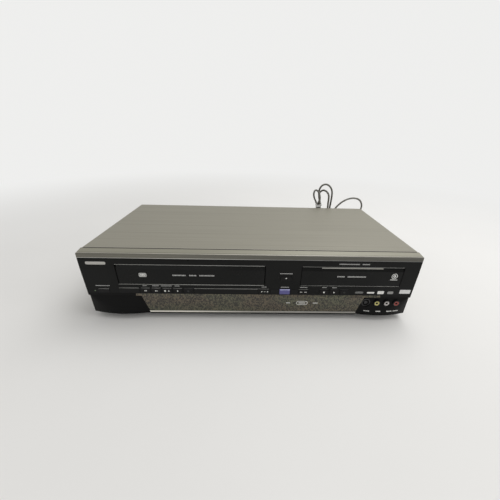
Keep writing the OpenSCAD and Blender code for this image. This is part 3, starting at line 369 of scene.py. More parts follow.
def hang_soft_box(name, at, aim, size, power):
    light = bpy.data.lights.new(name, "AREA")
    light.shape = "RECTANGLE"
    light.size, light.size_y = size
    light.energy = power
    lamp = placed(name, light)
    lamp.location = at
    lamp.rotation_euler = (Vector(aim) - Vector(at)).to_track_quat("-Z", "Y").to_euler()


def set_up_studio():
    hang_soft_box("overhead_box", (0.6, 0.35, 1.45), (0.06, 0, 0.05), (1.5, 1.1), 15)
    hang_soft_box("side_box", (1.5, -0.7, 0.9), (0, 0, 0.05), (0.9, 0.9), 5)
    hang_soft_box("front_fill", (-0.7, -1.5, 0.7), (0, 0, 0.05), (1.2, 0.7), 3)
    world = bpy.data.worlds.new("studio")
    world.use_nodes = True
    room = world.node_tree.nodes["Background"]
    feed(world, (1.0, 0.99, 0.97), room.inputs["Color"])
    feed(world, 0.5, room.inputs["Strength"])
    pale = add_node(world, "Background", {"Color": BACKDROP, "Strength": 1.0})
    seen = add_node(world, "LightPath").outputs
    either = worked_out(world, "MAXIMUM", seen["Is Camera Ray"], seen["Is Transmission Ray"])
    show_mixed(world, either, room, pale, "World Output")
    bpy.context.scene.world = world
    bpy.context.scene.view_settings.view_transform = "Standard"


def lay_floor():
    """A pale floor that keeps the shadow and melts into the backdrop further out."""
    shape = bmesh.new()
    bmesh.ops.create_grid(shape, x_segments=1, y_segments=1, size=9)
    floor = piece_from(shape, "studio_floor")
    coat = finish("pale_floor", (0.78, 0.775, 0.76), 0.9)
    tone(coat, grain(coat, 3), (0.765, 0.76, 0.745), (0.79, 0.785, 0.77))
    place = add_node(coat, "TexCoord").outputs["Object"]
    away = add_node(coat, "VectorMath", {0: place}, operation="LENGTH").outputs["Value"]
    far = add_node(coat, "MapRange", {"From Min": 0.3, "From Max": 1.3, "Value": away},
                   interpolation_type="SMOOTHSTEP").outputs["Result"]
    seen = add_node(coat, "LightPath").outputs["Is Camera Ray"]
    amount = worked_out(coat, "MULTIPLY", far, seen)
    pale = add_node(coat, "Emission", {"Color": BACKDROP})
    show_mixed(coat, amount, shader_of(coat), pale, "Material Output")
    floor.data.materials.append(coat)


# ---------- finishes ----------

def brushed(coat, stretch, detail):
    """Grain along the width; on the cabinet's sides it runs along the depth."""
    place = add_node(coat, "TexCoord").outputs
    parts = add_node(coat, "SeparateXYZ", {0: place["Object"]}).outputs
    swapped = add_node(coat, "CombineXYZ", {"X": parts["Y"], "Y": parts["X"],
                                            "Z": parts["Z"]}).outputs[0]
    facing = add_node(coat, "SeparateXYZ", {0: place["Normal"]}).outputs["X"]
    sideways = worked_out(coat, "GREATER_THAN", worked_out(coat, "ABSOLUTE", facing), 0.7)
    chosen = add_node(coat, "Mix", {0: sideways, 4: place["Object"], 5: swapped},
                      data_type="VECTOR").outputs[1]
    return grain(coat, 1, stretch, detail, place=chosen)


def hairline_paint(name, dark, light, rough):
    """Silver paint over fine brushed lines."""
    coat = finish(name, light, rough, 0.35)
    fine = brushed(coat, (5, 1500, 1500), 2)
    broad = brushed(coat, (1.6, 150, 150), 4)
    tone(coat, fine, dark, light)
    tint(coat, ramp(coat, broad, (0.92, 0.92, 0.915), PLAIN, 0.3, 0.46))
    sheen_varies(coat, fine, rough - 0.05, rough + 0.08)
    relief(coat, fine, 0.00004, 0.25)
    return coat


def shaded_trim_coat(dark, light):
    """The strip above the black front: silver paint, with painted shade on the face below its
    crest.
    """
    coat = hairline_paint("trim_paint", dark, light, 0.42)
    # Painted shade on the face below the crest, lighter to the left as a painted reflection
    face = ramp(coat, where_above(coat, "X", -0.05, 0.08),
                (0.56, 0.56, 0.58), (0.38, 0.385, 0.41), 0, 1)
    # Mask that keeps the slope above the crest free of the painted shade
    slope = ramp(coat, where_above(coat, "Z", 0.09762, 0.0003), (0, 0, 0), PLAIN, 0.3, 1.0)
    tint(coat, blend_colours(coat, slope, face, PLAIN))
    return coat


def moulded(name, colour, rough=0.3, fleck=0.25, depth=0.00002, scale=2500, gloss=0.5):
    """A plastic moulding with a fine skin and faint uneven gloss."""
    coat = finish(name, colour, rough)
    set_shader(coat, {"Specular IOR Level": gloss})
    skin = grain(coat, scale, detail=2)
    cloud = grain(coat, 22, detail=4)
    tone(coat, cloud, times(colour, 1 - fleck), times(colour, 1 + fleck))
    sheen_varies(coat, cloud, rough - 0.05, rough + 0.07)
    relief(coat, skin, depth, 0.3)
    return coat


def smoked_mirror():
    """A dark half-mirror over the display, mottled with the painted reflection of a flecked
    carpet.
    """
    coat = finish("smoked_window", (0.07, 0.066, 0.05), 0.34, 0.25)
    # Painted reflection: the mottling and the shift of hue across the window stand for the carpet
    # it mirrors
    carpet_reflection = grain(coat, 500, (1.25, 1, 0.9), 7, (0, 0.6, 0))
    cast = grain(coat, 20, (1, 1, 2.2), 2)
    tone(coat, carpet_reflection, (0.018, 0.0165, 0.0115), (0.121, 0.108, 0.073), 0.4, 0.62)
    tint(coat, ramp(coat, cast, (0.9, 1.0, 0.86), (1.0, 0.88, 0.82), 0.4, 0.6))
    sheen_varies(coat, carpet_reflection, 0.26, 0.45)
    set_shader(coat, {"Coat Weight": 0.6, "Coat Roughness": 0.12})
    return coat


def drawn_metal(name, colour, rough=0.3, stretch=(4, 900, 900), metallic=1.0):
    """Metal with drawing or turning lines."""
    coat = finish(name, colour, rough, metallic)
    lines = grain(coat, 1, stretch, 3)
    tone(coat, lines, times(colour, 0.82), colour)
    sheen_varies(coat, lines, rough - 0.08, rough + 0.1)
    relief(coat, lines, 0.00003, 0.3)
    return coat


def zinc_sheet(name, colour):
    """Plated sheet with a faint spangle."""
    coat = finish(name, colour, 0.42, 0.85)
    spangle = add_node(coat, "TexVoronoi", {"Scale": 330, "Vector": own_coordinates(coat)})
    tone(coat, spangle.outputs["Distance"], times(colour, 0.93), times(colour, 1.05), 0.1, 0.7)
    wear = grain(coat, 60, detail=5)
    sheen_varies(coat, wear, 0.34, 0.55)
    relief(coat, wear, 0.00003, 0.2)
    return coat


def circuit_board(name, mask, trace, level=None, parts=(0.03, 0.03, 0.032)):
    """Lacquer over tracks, with parts that stand above a level; a board without one is upright."""
    coat = finish(name, mask, 0.38)
    turn = (pi / 2, 0, 0) if level is None else (0, 0, 0)
    tracks = add_node(coat, "TexBrick", {
        "Scale": 1, "Brick Width": 0.011, "Row Height": 0.0032, "Mortar Size": 0.00045,
        "Color1": mask, "Color2": times(mask, 0.8), "Mortar": trace,
        "Vector": own_coordinates(coat, turn=turn)})
    lacquer = tracks.outputs["Color"]
    if level is not None:
        mottled = ramp(coat, grain(coat, 240), parts, times(parts, 1.6, 0.01))
        lacquer = blend_colours(coat, where_above(coat, "Z", level), lacquer, mottled)
    set_shader(coat, {"Base Color": lacquer})
    relief(coat, tracks.outputs["Fac"], 0.00005, 0.3)
    return coat


def lead_vinyl(name, colour):
    """Soft vinyl with a slight bloom and handling marks."""
    coat = finish(name, colour, 0.36)
    bloom = grain(coat, 90, detail=4)
    tone(coat, bloom, times(colour, 0.7), times(colour, 1.5))
    sheen_varies(coat, bloom, 0.26, 0.42)
    relief(coat, grain(coat, 1800), 0.00003, 0.3)
    set_shader(coat, {"Coat Weight": 0.4, "Coat Roughness": 0.2})
    return coat


def printed_ink(name, colour):
    """Screen-printed ink, a little uneven at its edges."""
    coat = finish(name, colour, 0.5)
    uneven = grain(coat, 900, detail=2)
    tone(coat, uneven, times(colour, 0.85), colour)
    relief(coat, uneven, 0.00002, 0.2)
    return coat


def lit_plastic(name, colour, glow, strength):
    """Clear plastic that glows in a slightly uneven colour; the dubbing key's glow is painted
    light, as no lamp is behind it.
    """
    coat = finish(name, colour, 0.28)
    tone(coat, grain(coat, 180), times(colour, 0.8), times(colour, 1.15))
    set_shader(coat, {"Emission Color": glow, "Emission Strength": strength})
    return coat


silver = hairline_paint("cover_paint", (0.266, 0.253, 0.206), (0.33, 0.316, 0.261), 0.46)
# Silver paint of the trim, with painted shade and a painted reflection on its face
trim_paint = shaded_trim_coat((0.25, 0.24, 0.19), (0.31, 0.3, 0.24))
# Pale metal for the trim's rounded crest and the cover's front hem: a painted highlight
crest_highlight_metal = drawn_metal("trim_crest", (0.68, 0.65, 0.57), metallic=0.3)
# Painted highlight on the trim's lower lip, fading to the right as a painted reflection
lip_highlight_metal = faded_along(
    drawn_metal("trim_lower_lip", (0.82, 0.81, 0.76), metallic=0.3),
    "X", -0.015, 0.06, PLAIN, (0.3, 0.3, 0.31))
# Window strip made very pale as a painted highlight, darker to the right where its painted
# reflection fades
strip_metal_and_reflection = faded_along(
    drawn_metal("window_strip", (0.95, 0.93, 0.83), 0.35, metallic=0.1),
    "X", -0.045, 0.045, PLAIN, (0.42, 0.42, 0.43))
bar_metal = drawn_metal("door_bar_metal", (0.46, 0.45, 0.41), 0.35, metallic=0.3)
badge_metal = drawn_metal("badge_metal", (0.5, 0.49, 0.46), 0.35, metallic=0.3)
window_finish = smoked_mirror()

# Painted shade: the front's black is tinted darker below the key row, over the pods
black = faded_along(moulded("front_black", (0.006, 0.0063, 0.006), gloss=0.14),
                    "Z", 0.0404, 0.0003, (0.15, 0.15, 0.16), PLAIN)
flap_black = moulded("flap_black", (0.005, 0.0053, 0.005), 0.24, gloss=0.16)
key_black = moulded("key_black", (0.007, 0.007, 0.007), gloss=0.16)
# Grey and dim grey for the rounded edges of black keys, lips and strips: painted highlights
rim_grey = moulded("rim_grey", (0.3, 0.3, 0.285))
rim_dark = moulded("rim_dark", (0.05, 0.05, 0.048))
# Darker black for the socket rims and edges on the lower front: a shaded copy of the front's
# black, painted shade
pod_black = moulded("pod_black", (0.003, 0.003, 0.0032), 0.26, gloss=0.12)
# Near-black matt for bars in the gaps beside the openings: painted shadow
reveal_black = moulded("reveal_black", (0.0012, 0.0012, 0.0012), 0.8, gloss=0.05)
# Dark strip in the seam ahead of the cover: painted shadow
seam_shadow_black = moulded("cover_seal", (0.022, 0.021, 0.019), 0.6, gloss=0.2)
# Near-black for the unlit lamp dots, and painted shade in the socket bores and the screws' cross
# recesses
lamp_and_shade_dark = moulded("deck_lamp", (0.004, 0.004, 0.004), 0.2)
chassis_black = moulded("chassis_black", (0.035, 0.035, 0.036), 0.55, depth=0.00006, scale=900)
dark_moulding = moulded("dark_moulding", (0.03, 0.031, 0.032), 0.5, depth=0.00005, scale=1100)
tray_grey = moulded("tray_grey", (0.026, 0.027, 0.028), 0.42, depth=0.00005, scale=1400)
rubber = moulded("foot_rubber", (0.02, 0.02, 0.021), 0.72, depth=0.00012, scale=600)
roller_rubber = moulded("roller_rubber", (0.018, 0.018, 0.019), 0.6, depth=0.00005, scale=900)
cast_alloy = moulded("cast_alloy", (0.3, 0.31, 0.32), 0.5, depth=0.00008, scale=700)
pickup_cast = moulded("pickup_cast", (0.11, 0.12, 0.14), 0.42, depth=0.00008, scale=800)
acetal = moulded("white_acetal", (0.72, 0.7, 0.62), 0.38, 0.06)
gear_acetal = moulded("gear_acetal", (0.66, 0.6, 0.46), 0.4, 0.06)
jack_black = moulded("jack_black", (0.018, 0.018, 0.019), 0.4)

white_ink = printed_ink("white_ink", (0.8, 0.8, 0.77))
grey_ink = printed_ink("grey_ink", (0.46, 0.46, 0.45))
dim_ink = printed_ink("dim_ink", (0.14, 0.14, 0.138))
soft_ink = printed_ink("soft_ink", (0.3, 0.3, 0.29))
faint_ink = printed_ink("faint_ink", (0.06, 0.062, 0.065))
pale_plate = printed_ink("pale_plate", (0.72, 0.72, 0.71))
# The dubbing key and its edge have no lamp behind them: their glow is painted light, on the edge a
# painted highlight
violet = lit_plastic("dubbing_key_violet", (0.075, 0.072, 0.21), (0.22, 0.2, 0.6), 0.06)
violet_edge_highlight = lit_plastic("dubbing_key_edge", (0.36, 0.37, 0.58), (0.5, 0.5, 0.8), 0.12)
lamp_green = lit_plastic("standby_lamp", (0.12, 0.17, 0.1), (0.4, 0.6, 0.35), 0.04)
display_glass = lit_plastic("display_glass", (0.02, 0.035, 0.035), (0.05, 0.12, 0.11), 0.02)

zinc = zinc_sheet("zinc_sheet", (0.46, 0.465, 0.45))
rear_zinc = zinc_sheet("rear_sheet", (0.4, 0.405, 0.395))
head_block = zinc_sheet("head_block", (0.36, 0.35, 0.33))
steel = drawn_metal("turned_steel", (0.56, 0.56, 0.57), 0.22, (600, 600, 20))
alloy = drawn_metal("drum_alloy", (0.68, 0.69, 0.7), 0.2, (12, 12, 2600))
spring_steel = drawn_metal("spring_steel", (0.5, 0.5, 0.5), 0.25, (2200, 200, 200))
nickel = drawn_metal("nickel_barrel", (0.66, 0.64, 0.58), 0.18, (700, 30, 700))
screw_black = drawn_metal("screw_black", (0.06, 0.06, 0.06), 0.35, (500, 500, 500), 0.8)
tie_foil = drawn_metal("tie_foil", (0.92, 0.92, 0.9), 0.3, (900, 900, 900), 0.25)
blade_brass = drawn_metal("plug_blade", (0.66, 0.6, 0.46), 0.25, (30, 900, 900))
vinyl = lead_vinyl("lead_vinyl", (0.1, 0.095, 0.078))
plug_vinyl = lead_vinyl("plug_vinyl", (0.02, 0.02, 0.019))

BOARD_TOP = 0.0195
green_board = circuit_board("main_board_lacquer", (0.02, 0.13, 0.05), (0.07, 0.26, 0.1), BOARD_TOP)
front_lacquer = circuit_board("front_board_lacquer", (0.02, 0.12, 0.05), (0.07, 0.24, 0.1))
tan_board = circuit_board("power_board_paper", (0.36, 0.24, 0.1), (0.5, 0.36, 0.17), BOARD_TOP,
                          (0.05, 0.055, 0.07))

# Insulators of the front sockets, then those that the rear alone has
INSULATORS = {name: moulded("socket_" + name, colour, rough, fleck)
              for name, colour, rough, fleck in (
                  ("yellow", (0.57, 0.52, 0.18), 0.3, 0.08),
                  ("white", (0.58, 0.55, 0.53), 0.3, 0.06),
                  ("red", (0.3, 0.045, 0.035), 0.3, 0.08),
                  ("green", (0.04, 0.32, 0.1), 0.35, 0.08),
                  ("blue", (0.03, 0.09, 0.42), 0.35, 0.08),
                  ("orange", (0.72, 0.2, 0.02), 0.35, 0.08))}

NODE_FINISHES = (
    (silver, "top_cover"),
    (trim_paint, "top_trim"),
    (strip_metal_and_reflection, "window_trim"),
    (window_finish, "display_window"),
    (black, "front_bezel"),
    (flap_black, "cassette_flap tray_door"),
    (key_black, "power_button rewind_button forward_button stop_eject_button vcr_play_button"),
    (key_black, "vcr_record_button channel_rocker select_button open_close_button"),
    (key_black, "dvd_stop_button dvd_play_button dvd_record_button"),
    (violet, "dubbing_button"),
    (jack_black, "s_video_jack front_jacks rear_jacks"),
    (chassis_black, "chassis_pan"),
    (rear_zinc, "rear_panel"),
    (rubber, "feet"),
    (screw_black, "screws"),
    (green_board, "main_board"),
    (tan_board, "power_board"),
    (front_lacquer, "front_board"),
    (display_glass, "display_module"),
    (zinc, "deck_plate side_brackets cassette_basket"),
    (spring_steel, "flap_spring"),
    (alloy, "lower_drum upper_drum"),
    (steel, "capstan pinch_arm supply_guide takeup_guide lead_screw"),
    (roller_rubber, "pinch_roller"),
    (head_block, "tape_heads"),
    (acetal, "carriage_slider supply_reel takeup_reel disc_clamp"),
    (dark_moulding, "loader_frame turntable fan_frame fan_rotor"),
    (tray_grey, "disc_tray"),
    (gear_acetal, "tray_gear"),
    (cast_alloy, "traverse_frame"),
    (pickup_cast, "optical_pickup"),
)


def dress_nodes():
    for material, names in NODE_FINISHES:
        for name in names.split():
            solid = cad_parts[name]
            if solid.material_slots:
                for place in solid.material_slots:
                    place.material = material
            else:
                solid.data.materials.append(material)


# ---------- mains lead ----------

# Depths of the hank's six layers, its left and right folds, and the level of the lower folds
LEAD_LAYERS = [111.5, 115.2, 118.9, 122.6, 126.3, 130.0]
HANK_LEFT, HANK_RIGHT = 133.9, 158.1
HANK_BOTTOM = 14.3
LEAD_RADIUS = 1.75


def lead_fold(start, end, rise, steps=9):
    """Half a turn between two points; it rises above them or hangs below."""
    points = []
    for i in range(steps):
        t = i / (steps - 1)
        swing = (1 - cos(pi * t)) / 2
        x, y, z = (a + (b - a) * swing for a, b in zip(start, end))
        points.append((x, y, z + rise * sin(pi * t)))
    return points


def bottom_fold(y):
    return lead_fold((HANK_RIGHT, y, HANK_BOTTOM), (HANK_LEFT, y, HANK_BOTTOM), -12.1)


def teardrop(middle, along, waist, radius, z_middle, flare, lean, steps=13):
    """A loop that opens out above its tie: two short reverse bends and a wide arc."""
    drop = 2 * radius * sin(flare)
    side = []
    for i in range(3):
        a = flare * i / 3
        side.append((waist + radius - radius * cos(a), z_middle - drop + radius * sin(a)))
    arc = []
    for i in range(steps):
        a = -flare + (pi + 2 * flare) * i / (steps - 1)
        arc.append((radius * cos(a), z_middle + radius * sin(a)))
    outline = side + arc + [(-u, z) for u, z in reversed(side)]
    low = z_middle - drop
    return [(middle[0] - u * along[0] + lean * (z - low) / drop, middle[1] - u * along[1], z)
            for u, z in outline]


def lead_points():
    """The lead's way: up behind the cabinet, through the tied hank and out to its plug."""
    a, b, c, d, e, f = LEAD_LAYERS
    points = [(200, 128, 30), (200, 136, 30), (203, 144, 33), (210, 149, 41), (220, 150, 54),
              (229, 147, 69), (233, 142, 85), (231, 137, 99), (223, 133, 109.5),
              (211, 130, 114), (198, 127.5, 113.3), (187, 125, 109), (177.5, 123, 102),
              (170, 121.5, 93), (164.5, 120.5, 82), (161.7, 119, 70)]
    points += [(161.3, 115.4, 57), (159.9, 112.2, 44), (158.3, a, 33), (HANK_RIGHT, a, 23)]
    points += bottom_fold(a)
    points += [(HANK_LEFT, a, 26), (HANK_LEFT, a, 46), (133.9, 112.2, 66), (134.8, 116.2, 84),
               (135.9, 118.2, 98), (135.4, 118.6, 108), (132.8, 118.5, 120)]
    points += lead_fold((131.6, 118.2, 128), (159.6, 121.4, 122), 17.2)
    points += [(159.8, 121.8, 110), (159.2, 121.6, 97), (158.7, 120.4, 85),
               (158.3, 119.1, 69), (HANK_RIGHT, c, 52), (HANK_RIGHT, c, 26)]
    points += bottom_fold(c)
    points += [(HANK_LEFT, c, 26), (HANK_LEFT, c, 44), (134.8, 119.8, 62), (137.0, 120.9, 80),
               (138.8, 121.2, 95), (138.2, 122.4, 104), (136.5, 125, 113)]
    points += lead_fold((135.2, 127, 120.4), (150.8, 110.9, 118.6), 11.2)
    points += [(151.2, 110.4, 106), (152.6, 111.8, 90), (154.8, 113.4, 74), (156.8, 114.6, 58),
               (HANK_RIGHT, b, 42), (HANK_RIGHT, b, 26)]
    points += bottom_fold(b)
    points += [(HANK_LEFT, b, 26), (HANK_LEFT, b, 44)]
    points += lead_fold((HANK_LEFT, b, 58), (HANK_RIGHT, d, 58), 12.4)
    points += [(HANK_RIGHT, d, 44), (HANK_RIGHT, d, 26)]
    points += bottom_fold(d)
    points += [(HANK_LEFT, d, 26), (HANK_LEFT, d, 36)]
    points += lead_fold((HANK_LEFT, d, 46), (HANK_RIGHT, e, 46), 12.2)
    points += [(HANK_RIGHT, e, 36), (HANK_RIGHT, e, 26)]
    points += bottom_fold(e)
    points += [(HANK_LEFT, e, 26), (133.9, 126.1, 48), (133.4, 124.4, 64), (132.6, 121.2, 79),
               (132.0, 118.8, 91)]
    points += teardrop((132.2, 120.6), (-0.319, 0.948), 2.1, 11.6, 118.8, radians(53.8), -3)
    points += [(132.4, 122.9, 92), (133.0, 125.4, 80), (133.6, 128.2, 66), (133.9, f, 48),
               (133.4, 129.8, 33)]
    points += [(130.5, 128.5, 20), (125.5, 128, 12.5), (118, 127, 8), (108, 126, 7)]
    return [Vector(p) for p in points]


def smooth_way(points, steps):
    """A smooth line through every point, evenly eased however far apart they are."""
    line = []
    last = len(points) - 1
    for i in range(last):
        b, c = points[i], points[i + 1]
        a = points[i - 1] if i else 2 * b - c
        d = points[i + 2] if i + 2 <= last else 2 * c - b
        knots = [0.0]
        for p, q in ((a, b), (b, c), (c, d)):
            knots.append(knots[-1] + (q - p).length ** 0.5)
        k0, k1, k2, k3 = knots
        for j in range(steps):
            t = k1 + (k2 - k1) * j / steps
            ab = a.lerp(b, (t - k0) / (k1 - k0))
            bc = b.lerp(c, (t - k1) / (k2 - k1))
            cd = c.lerp(d, (t - k2) / (k3 - k2))
            near = ab.lerp(bc, (t - k0) / (k2 - k0))
            far = bc.lerp(cd, (t - k1) / (k3 - k1))
            line.append(near.lerp(far, (t - k1) / (k2 - k1)))
    line.append(points[last])
    return line


def make_strain_relief():
    """Collar and ribbed sleeve where the lead leaves the rear panel."""
    profile = [(0, -2.2), (7.2, -2.2), (7.2, 0), (5.2, 0), (5.2, 0.4), (7, 0.4), (7, 2.6),
               (6.4, 3.2), (5.5, 3.2)]
    for i in range(6):
        d = 4.4 + i * 3.3
        r = 5.3 - i * 0.46
        profile += [(r - 0.8, d - 0.3), (r - 0.8, d + 0.7), (r, d + 1.0), (r - 0.12, d + 2.6)]
    profile += [(2.5, 24.2), (2.3, 24.7), (0, 24.7)]
    shape = drawn(turned, [(profile, (200, PANEL, 30), BACKWARD, 28)])
    sleeve = fit_out(shape, "lead_strain_relief", plug_vinyl)
    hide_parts("strain_relief")
    return sleeve


def make_plug():
    """Moulded two-blade plug that lies beside the hank."""
    shape = drawn(bar, [((84, 98), (117.2, 134.8), (0.6, 13.4), 2.2, "xyz", 4)])
    for x in (87, 89.6, 92.2, 94.8):
        bar(shape, (x, x + 1.2), (116.9, 135.1), (3, 11), 0.4, "xyz", 2)
    profile = [(0, -1)]
    for i in range(5):
        r = 5.4 - i * 0.52
        d = i * 2.4
        profile += [(r, d), (r - 0.1, d + 1.5), (r - 0.8, d + 1.7), (r - 0.8, d + 2.3)]
    profile += [(2.4, 12.4), (2.2, 12.8), (0, 12.8)]
    turned(shape, profile, (96.4, 126, 7), (1, 0, 0), 24)
    body = fit_out(shape, "lead_plug", plug_vinyl)
    shape = drawn(bar, [((67, 85), about(y, 0.75), (3.8, 10.2), 1.2, "y", 4)
                        for y in (119.65, 132.35)])
    blades = fit_out(shape, "lead_plug_blades", blade_brass)
    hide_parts("plug")
    return body, blades


def make_tie():
    """Foil twist tie round the four strands, three turns that widen upwards, and its ends."""
    around = [(129.9, 117.6), (131.4, 116.1), (134.4, 115.8), (137.2, 116.3), (139.6, 118.4),
              (140.9, 121.4), (140.2, 124), (137.4, 124.8), (134, 125.3), (131.2, 125),
              (129.8, 122.8), (129.5, 120)]
    middle_x, middle_y = 135, 120.6
    steps = 3 * len(around)
    line = []
    for i in range(steps + 1):
        x, y = around[i % len(around)]
        t = i / steps
        line.append(Vector((middle_x + (x - middle_x) * (1 + 0.06 * t),
                            middle_y + (y - middle_y) * (1 + 0.2 * t), 98.4 + 5 * t)))
    band = wire("lead_tie", smooth_way(line, 4), 0.85, tie_foil)
    ends = []
    for i in range(25):
        a = i * 0.9
        t = i / 24
        ends.append(Vector((135.4 + 3.4 * t + 0.9 * cos(a), 114.6 - 1.6 * t + 0.9 * sin(a),
                            100.4 + 6.4 * t)))
    twist = wire("lead_tie_ends", smooth_way(ends, 3), 0.6, tie_foil)
    for piece in (band, twist):
        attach(piece, "cabinet")
    return band, twist


def make_lead():
    line = smooth_way(lead_points(), 6)
    lead = wire("mains_lead", line, LEAD_RADIUS, vinyl)
    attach(lead, "cabinet")
    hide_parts("power_cord", "cord_hank")
    body, blades = make_plug()
    band, twist = make_tie()
    sleeve = make_strain_relief()


# ---------- marks and trim on the front ----------

def make_key_marks():
    """Plain triangles, squares, dots and dashes that tell what a key does."""
    y, z = KEY_FACE, 44.2
    leftward, rightward, corner_up = pi / 2, -pi / 2, pi / 4
    shapes = {
        "rewind": drawn(mark, [(3, 1.15, (TAPE_KEYS[0] + gap, y, z), leftward)
                               for gap in (-0.95, 0.95)]),
        "forward": drawn(mark, [(3, 1.15, (TAPE_KEYS[1] + gap, y, z), rightward)
                                for gap in (-0.95, 0.95)]),
        "stop_eject": drawn(mark, [(4, 1.5, (TAPE_KEYS[2] - 2.6, y, z), corner_up),
                                   (3, 1.35, (TAPE_KEYS[2] + 2.2, y, z - 0.1))]),
        "vcr_play": drawn(mark, [(3, 1.45, (TAPE_KEYS[3], y, z), rightward)]),
        "vcr_record": drawn(ring, [(0.8, 1.15, (TAPE_KEYS[4], y, z), FRONTWARD, INK, 20)]),
        "dvd_stop": drawn(mark, [(4, 1.5, (DISC_KEYS[0], y, z), corner_up)]),
        "dvd_play": drawn(mark, [(3, 1.45, (DISC_KEYS[1] - 0.3, y, z), rightward)]),
        "dvd_record": drawn(ring, [(0.8, 1.15, (DISC_KEYS[2], y, z), FRONTWARD, INK, 20)]),
        "select": drawn(bar, [(about(x, 1.6), inked(y), about(z, 0.4), 0.2, "y")
                              for x in (65.2, 71.2)]),
        "channel": drawn(mark, [(3, 1.2, (12.2, y + 0.2, z), pi), (3, 1.2, (20, y + 0.2, z))]),
        "open_close": drawn(mark, [(3, 1.3, (43.5, y, 65.6))]),
    }
    bar(shapes["channel"], (14.8, 17.4), (y + 0.12, y + 0.22), about(z, 0.2), 0.15, "y")
    for name, shape in shapes.items():
        ink = faint_ink if name.endswith("record") else white_ink
        fit_out(shape, name + "_mark", ink, name + "_key")


def make_key_rims():
    """Rounded upper edges of the keys, most in grey or dim grey as painted highlights of the light
    they catch.
    """
    row, wide = (FACE + 0.5, KEY_TOP), 12.2
    # Each key's middle, the rim's depth and level, the key's width and the rim's finish, whose
    # grey is a painted highlight
    rims = (
        ("rewind", TAPE_KEYS[0], row, wide, rim_grey),
        ("forward", TAPE_KEYS[1], row, wide, rim_grey),
        ("stop_eject", TAPE_KEYS[2], row, wide, rim_grey),
        ("vcr_play", TAPE_KEYS[3], row, wide, rim_grey),
        ("vcr_record", TAPE_KEYS[4], row, wide, rim_dark),
        ("select", 68.2, row, 13, rim_grey),
        ("dvd_stop", DISC_KEYS[0], row, wide, rim_dark),
        ("dvd_play", DISC_KEYS[1], row, wide, rim_dark),
        ("dvd_record", DISC_KEYS[2], row, wide, rim_dark),
        ("power", -195.4, (FACE + 0.5, 46.3), 13.8, rim_grey),
        ("open_close", 43.5, (FACE + 0.5, 68.0), 14.3, key_black),
        ("channel", 15.2, (FACE + 0.7, KEY_TOP), 14.9, rim_grey),
    )
    for name, x, at, width, material in rims:
        shape = drawn(bead, [(about(x, width / 2 - 0.2), at, 0.33)])
        fit_out(shape, name + "_key_rim", material, name + "_key", True)
    # The dubbing key's rim in pale glowing violet: a painted highlight
    shape = drawn(bar, [((36.4, 49.6), (FACE - 0.55, FACE + 0.4), (46.9, 48.25), 0.3, "xy")])
    fit_out(shape, "dubbing_key_rim", violet_edge_highlight, "dubbing_key")


def make_front_trim():
    """Blank strips beside the keys, the lips of the openings and the door's bar; the grey rims of
    the strips and the lips are painted highlights.
    """
    left_blanks = ((-175.2, -149.6), (-77.4, 6.9))
    shape = drawn(bar, [(x, (FACE - 0.35, FACE + 0.3), (40.6, 48.2), 0.3, "xyz", 2)
                        for x in (*left_blanks, (24.2, 35.4), (51.2, 60.8))])
    fit_out(shape, "key_row_blanks", key_black)
    shape = drawn(bead, [(x, (FACE - 0.1, 48.2), 0.3) for x in left_blanks])
    fit_out(shape, "key_row_rims", rim_grey, smooth=True)
    shape = drawn(bead, [((-174.2, 14.8), (FACE + 0.12, 54.0), 0.42),
                         ((63.6, 196.2), (FACE + 0.15, 54.3), 0.26),
                         ((-173.6, 14.8), (FACE + 0.35, 82.9), 0.4),
                         ((63.8, 196.4), (FACE + 0.35, 82.7), 0.28)])
    fit_out(shape, "opening_lips", rim_grey, smooth=True)
    shape = drawn(bar, [((89, 169.3), (FACE + 1.1, FACE + 1.9), (79.9, 81.3), 0.35)])
    fit_out(shape, "door_bar", bar_metal, "tray")
    shape = drawn(bar, [((-208.6, -184), (FACE - 0.06, FACE + 1.2), (82.6, 86.6), 1.6, "y", 6)])
    fit_out(shape, "badge_plate", badge_metal)


def make_gap_shadows():
    """Matt black bars in the gaps beside the flap and the tray's door: painted shadow."""
    gap = 0.4
    shape = bmesh.new()
    for left, right, width in ((*FLAP, 0.9), (*DOOR, 0.5)):
        for x in ((left - gap - width, left - gap), (right + gap, right + gap + width)):
            bar(shape, x, (FACE - 0.05, FACE + 0.4), (55, 82.3))
    fit_out(shape, "opening_reveals", reveal_black)


def make_trim_edges():
    """Edges where the strip above the front turns down and where it ends, bright as painted
    highlights; the lower one fades to the right as a painted reflection.
    """
    ends = (TRIM_LEFT + 0.3, TRIM_RIGHT - 0.3)
    for name, at, radius, metal in (("trim_crest", (FACE + 2.3, 97.66), 0.42, crest_highlight_metal),
                                    ("trim_lower_lip", (FACE + 0.62, 91.9), 0.36, lip_highlight_metal)):
        fit_out(drawn(bead, [(ends, at, radius)]), name, metal, smooth=True)


def make_window_edges():
    """The rounded top of the bright strip, pale as a painted highlight, and the black edge below
    it, partly a real lip and partly painted shadow under the strip.
    """
    (left, _, low), (right, _, high) = ([c / MM for c in corner]
                                        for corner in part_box("window_trim"))
    shape = drawn(bead, [((left - 0.2, right + 0.2), (WINDOW_FACE - 0.2, high + 0.1), 0.5)])
    fit_out(shape, "window_strip_edge", strip_metal_and_reflection, smooth=True)
    shape = drawn(bar, [((left + 0.1, right - 0.1), (WINDOW_FACE - 0.95, WINDOW_FACE - 0.1),
                         (low - 0.7, low + 1.1), 0.3, "yz", 2)])
    fit_out(shape, "window_lower_edge", pod_black)


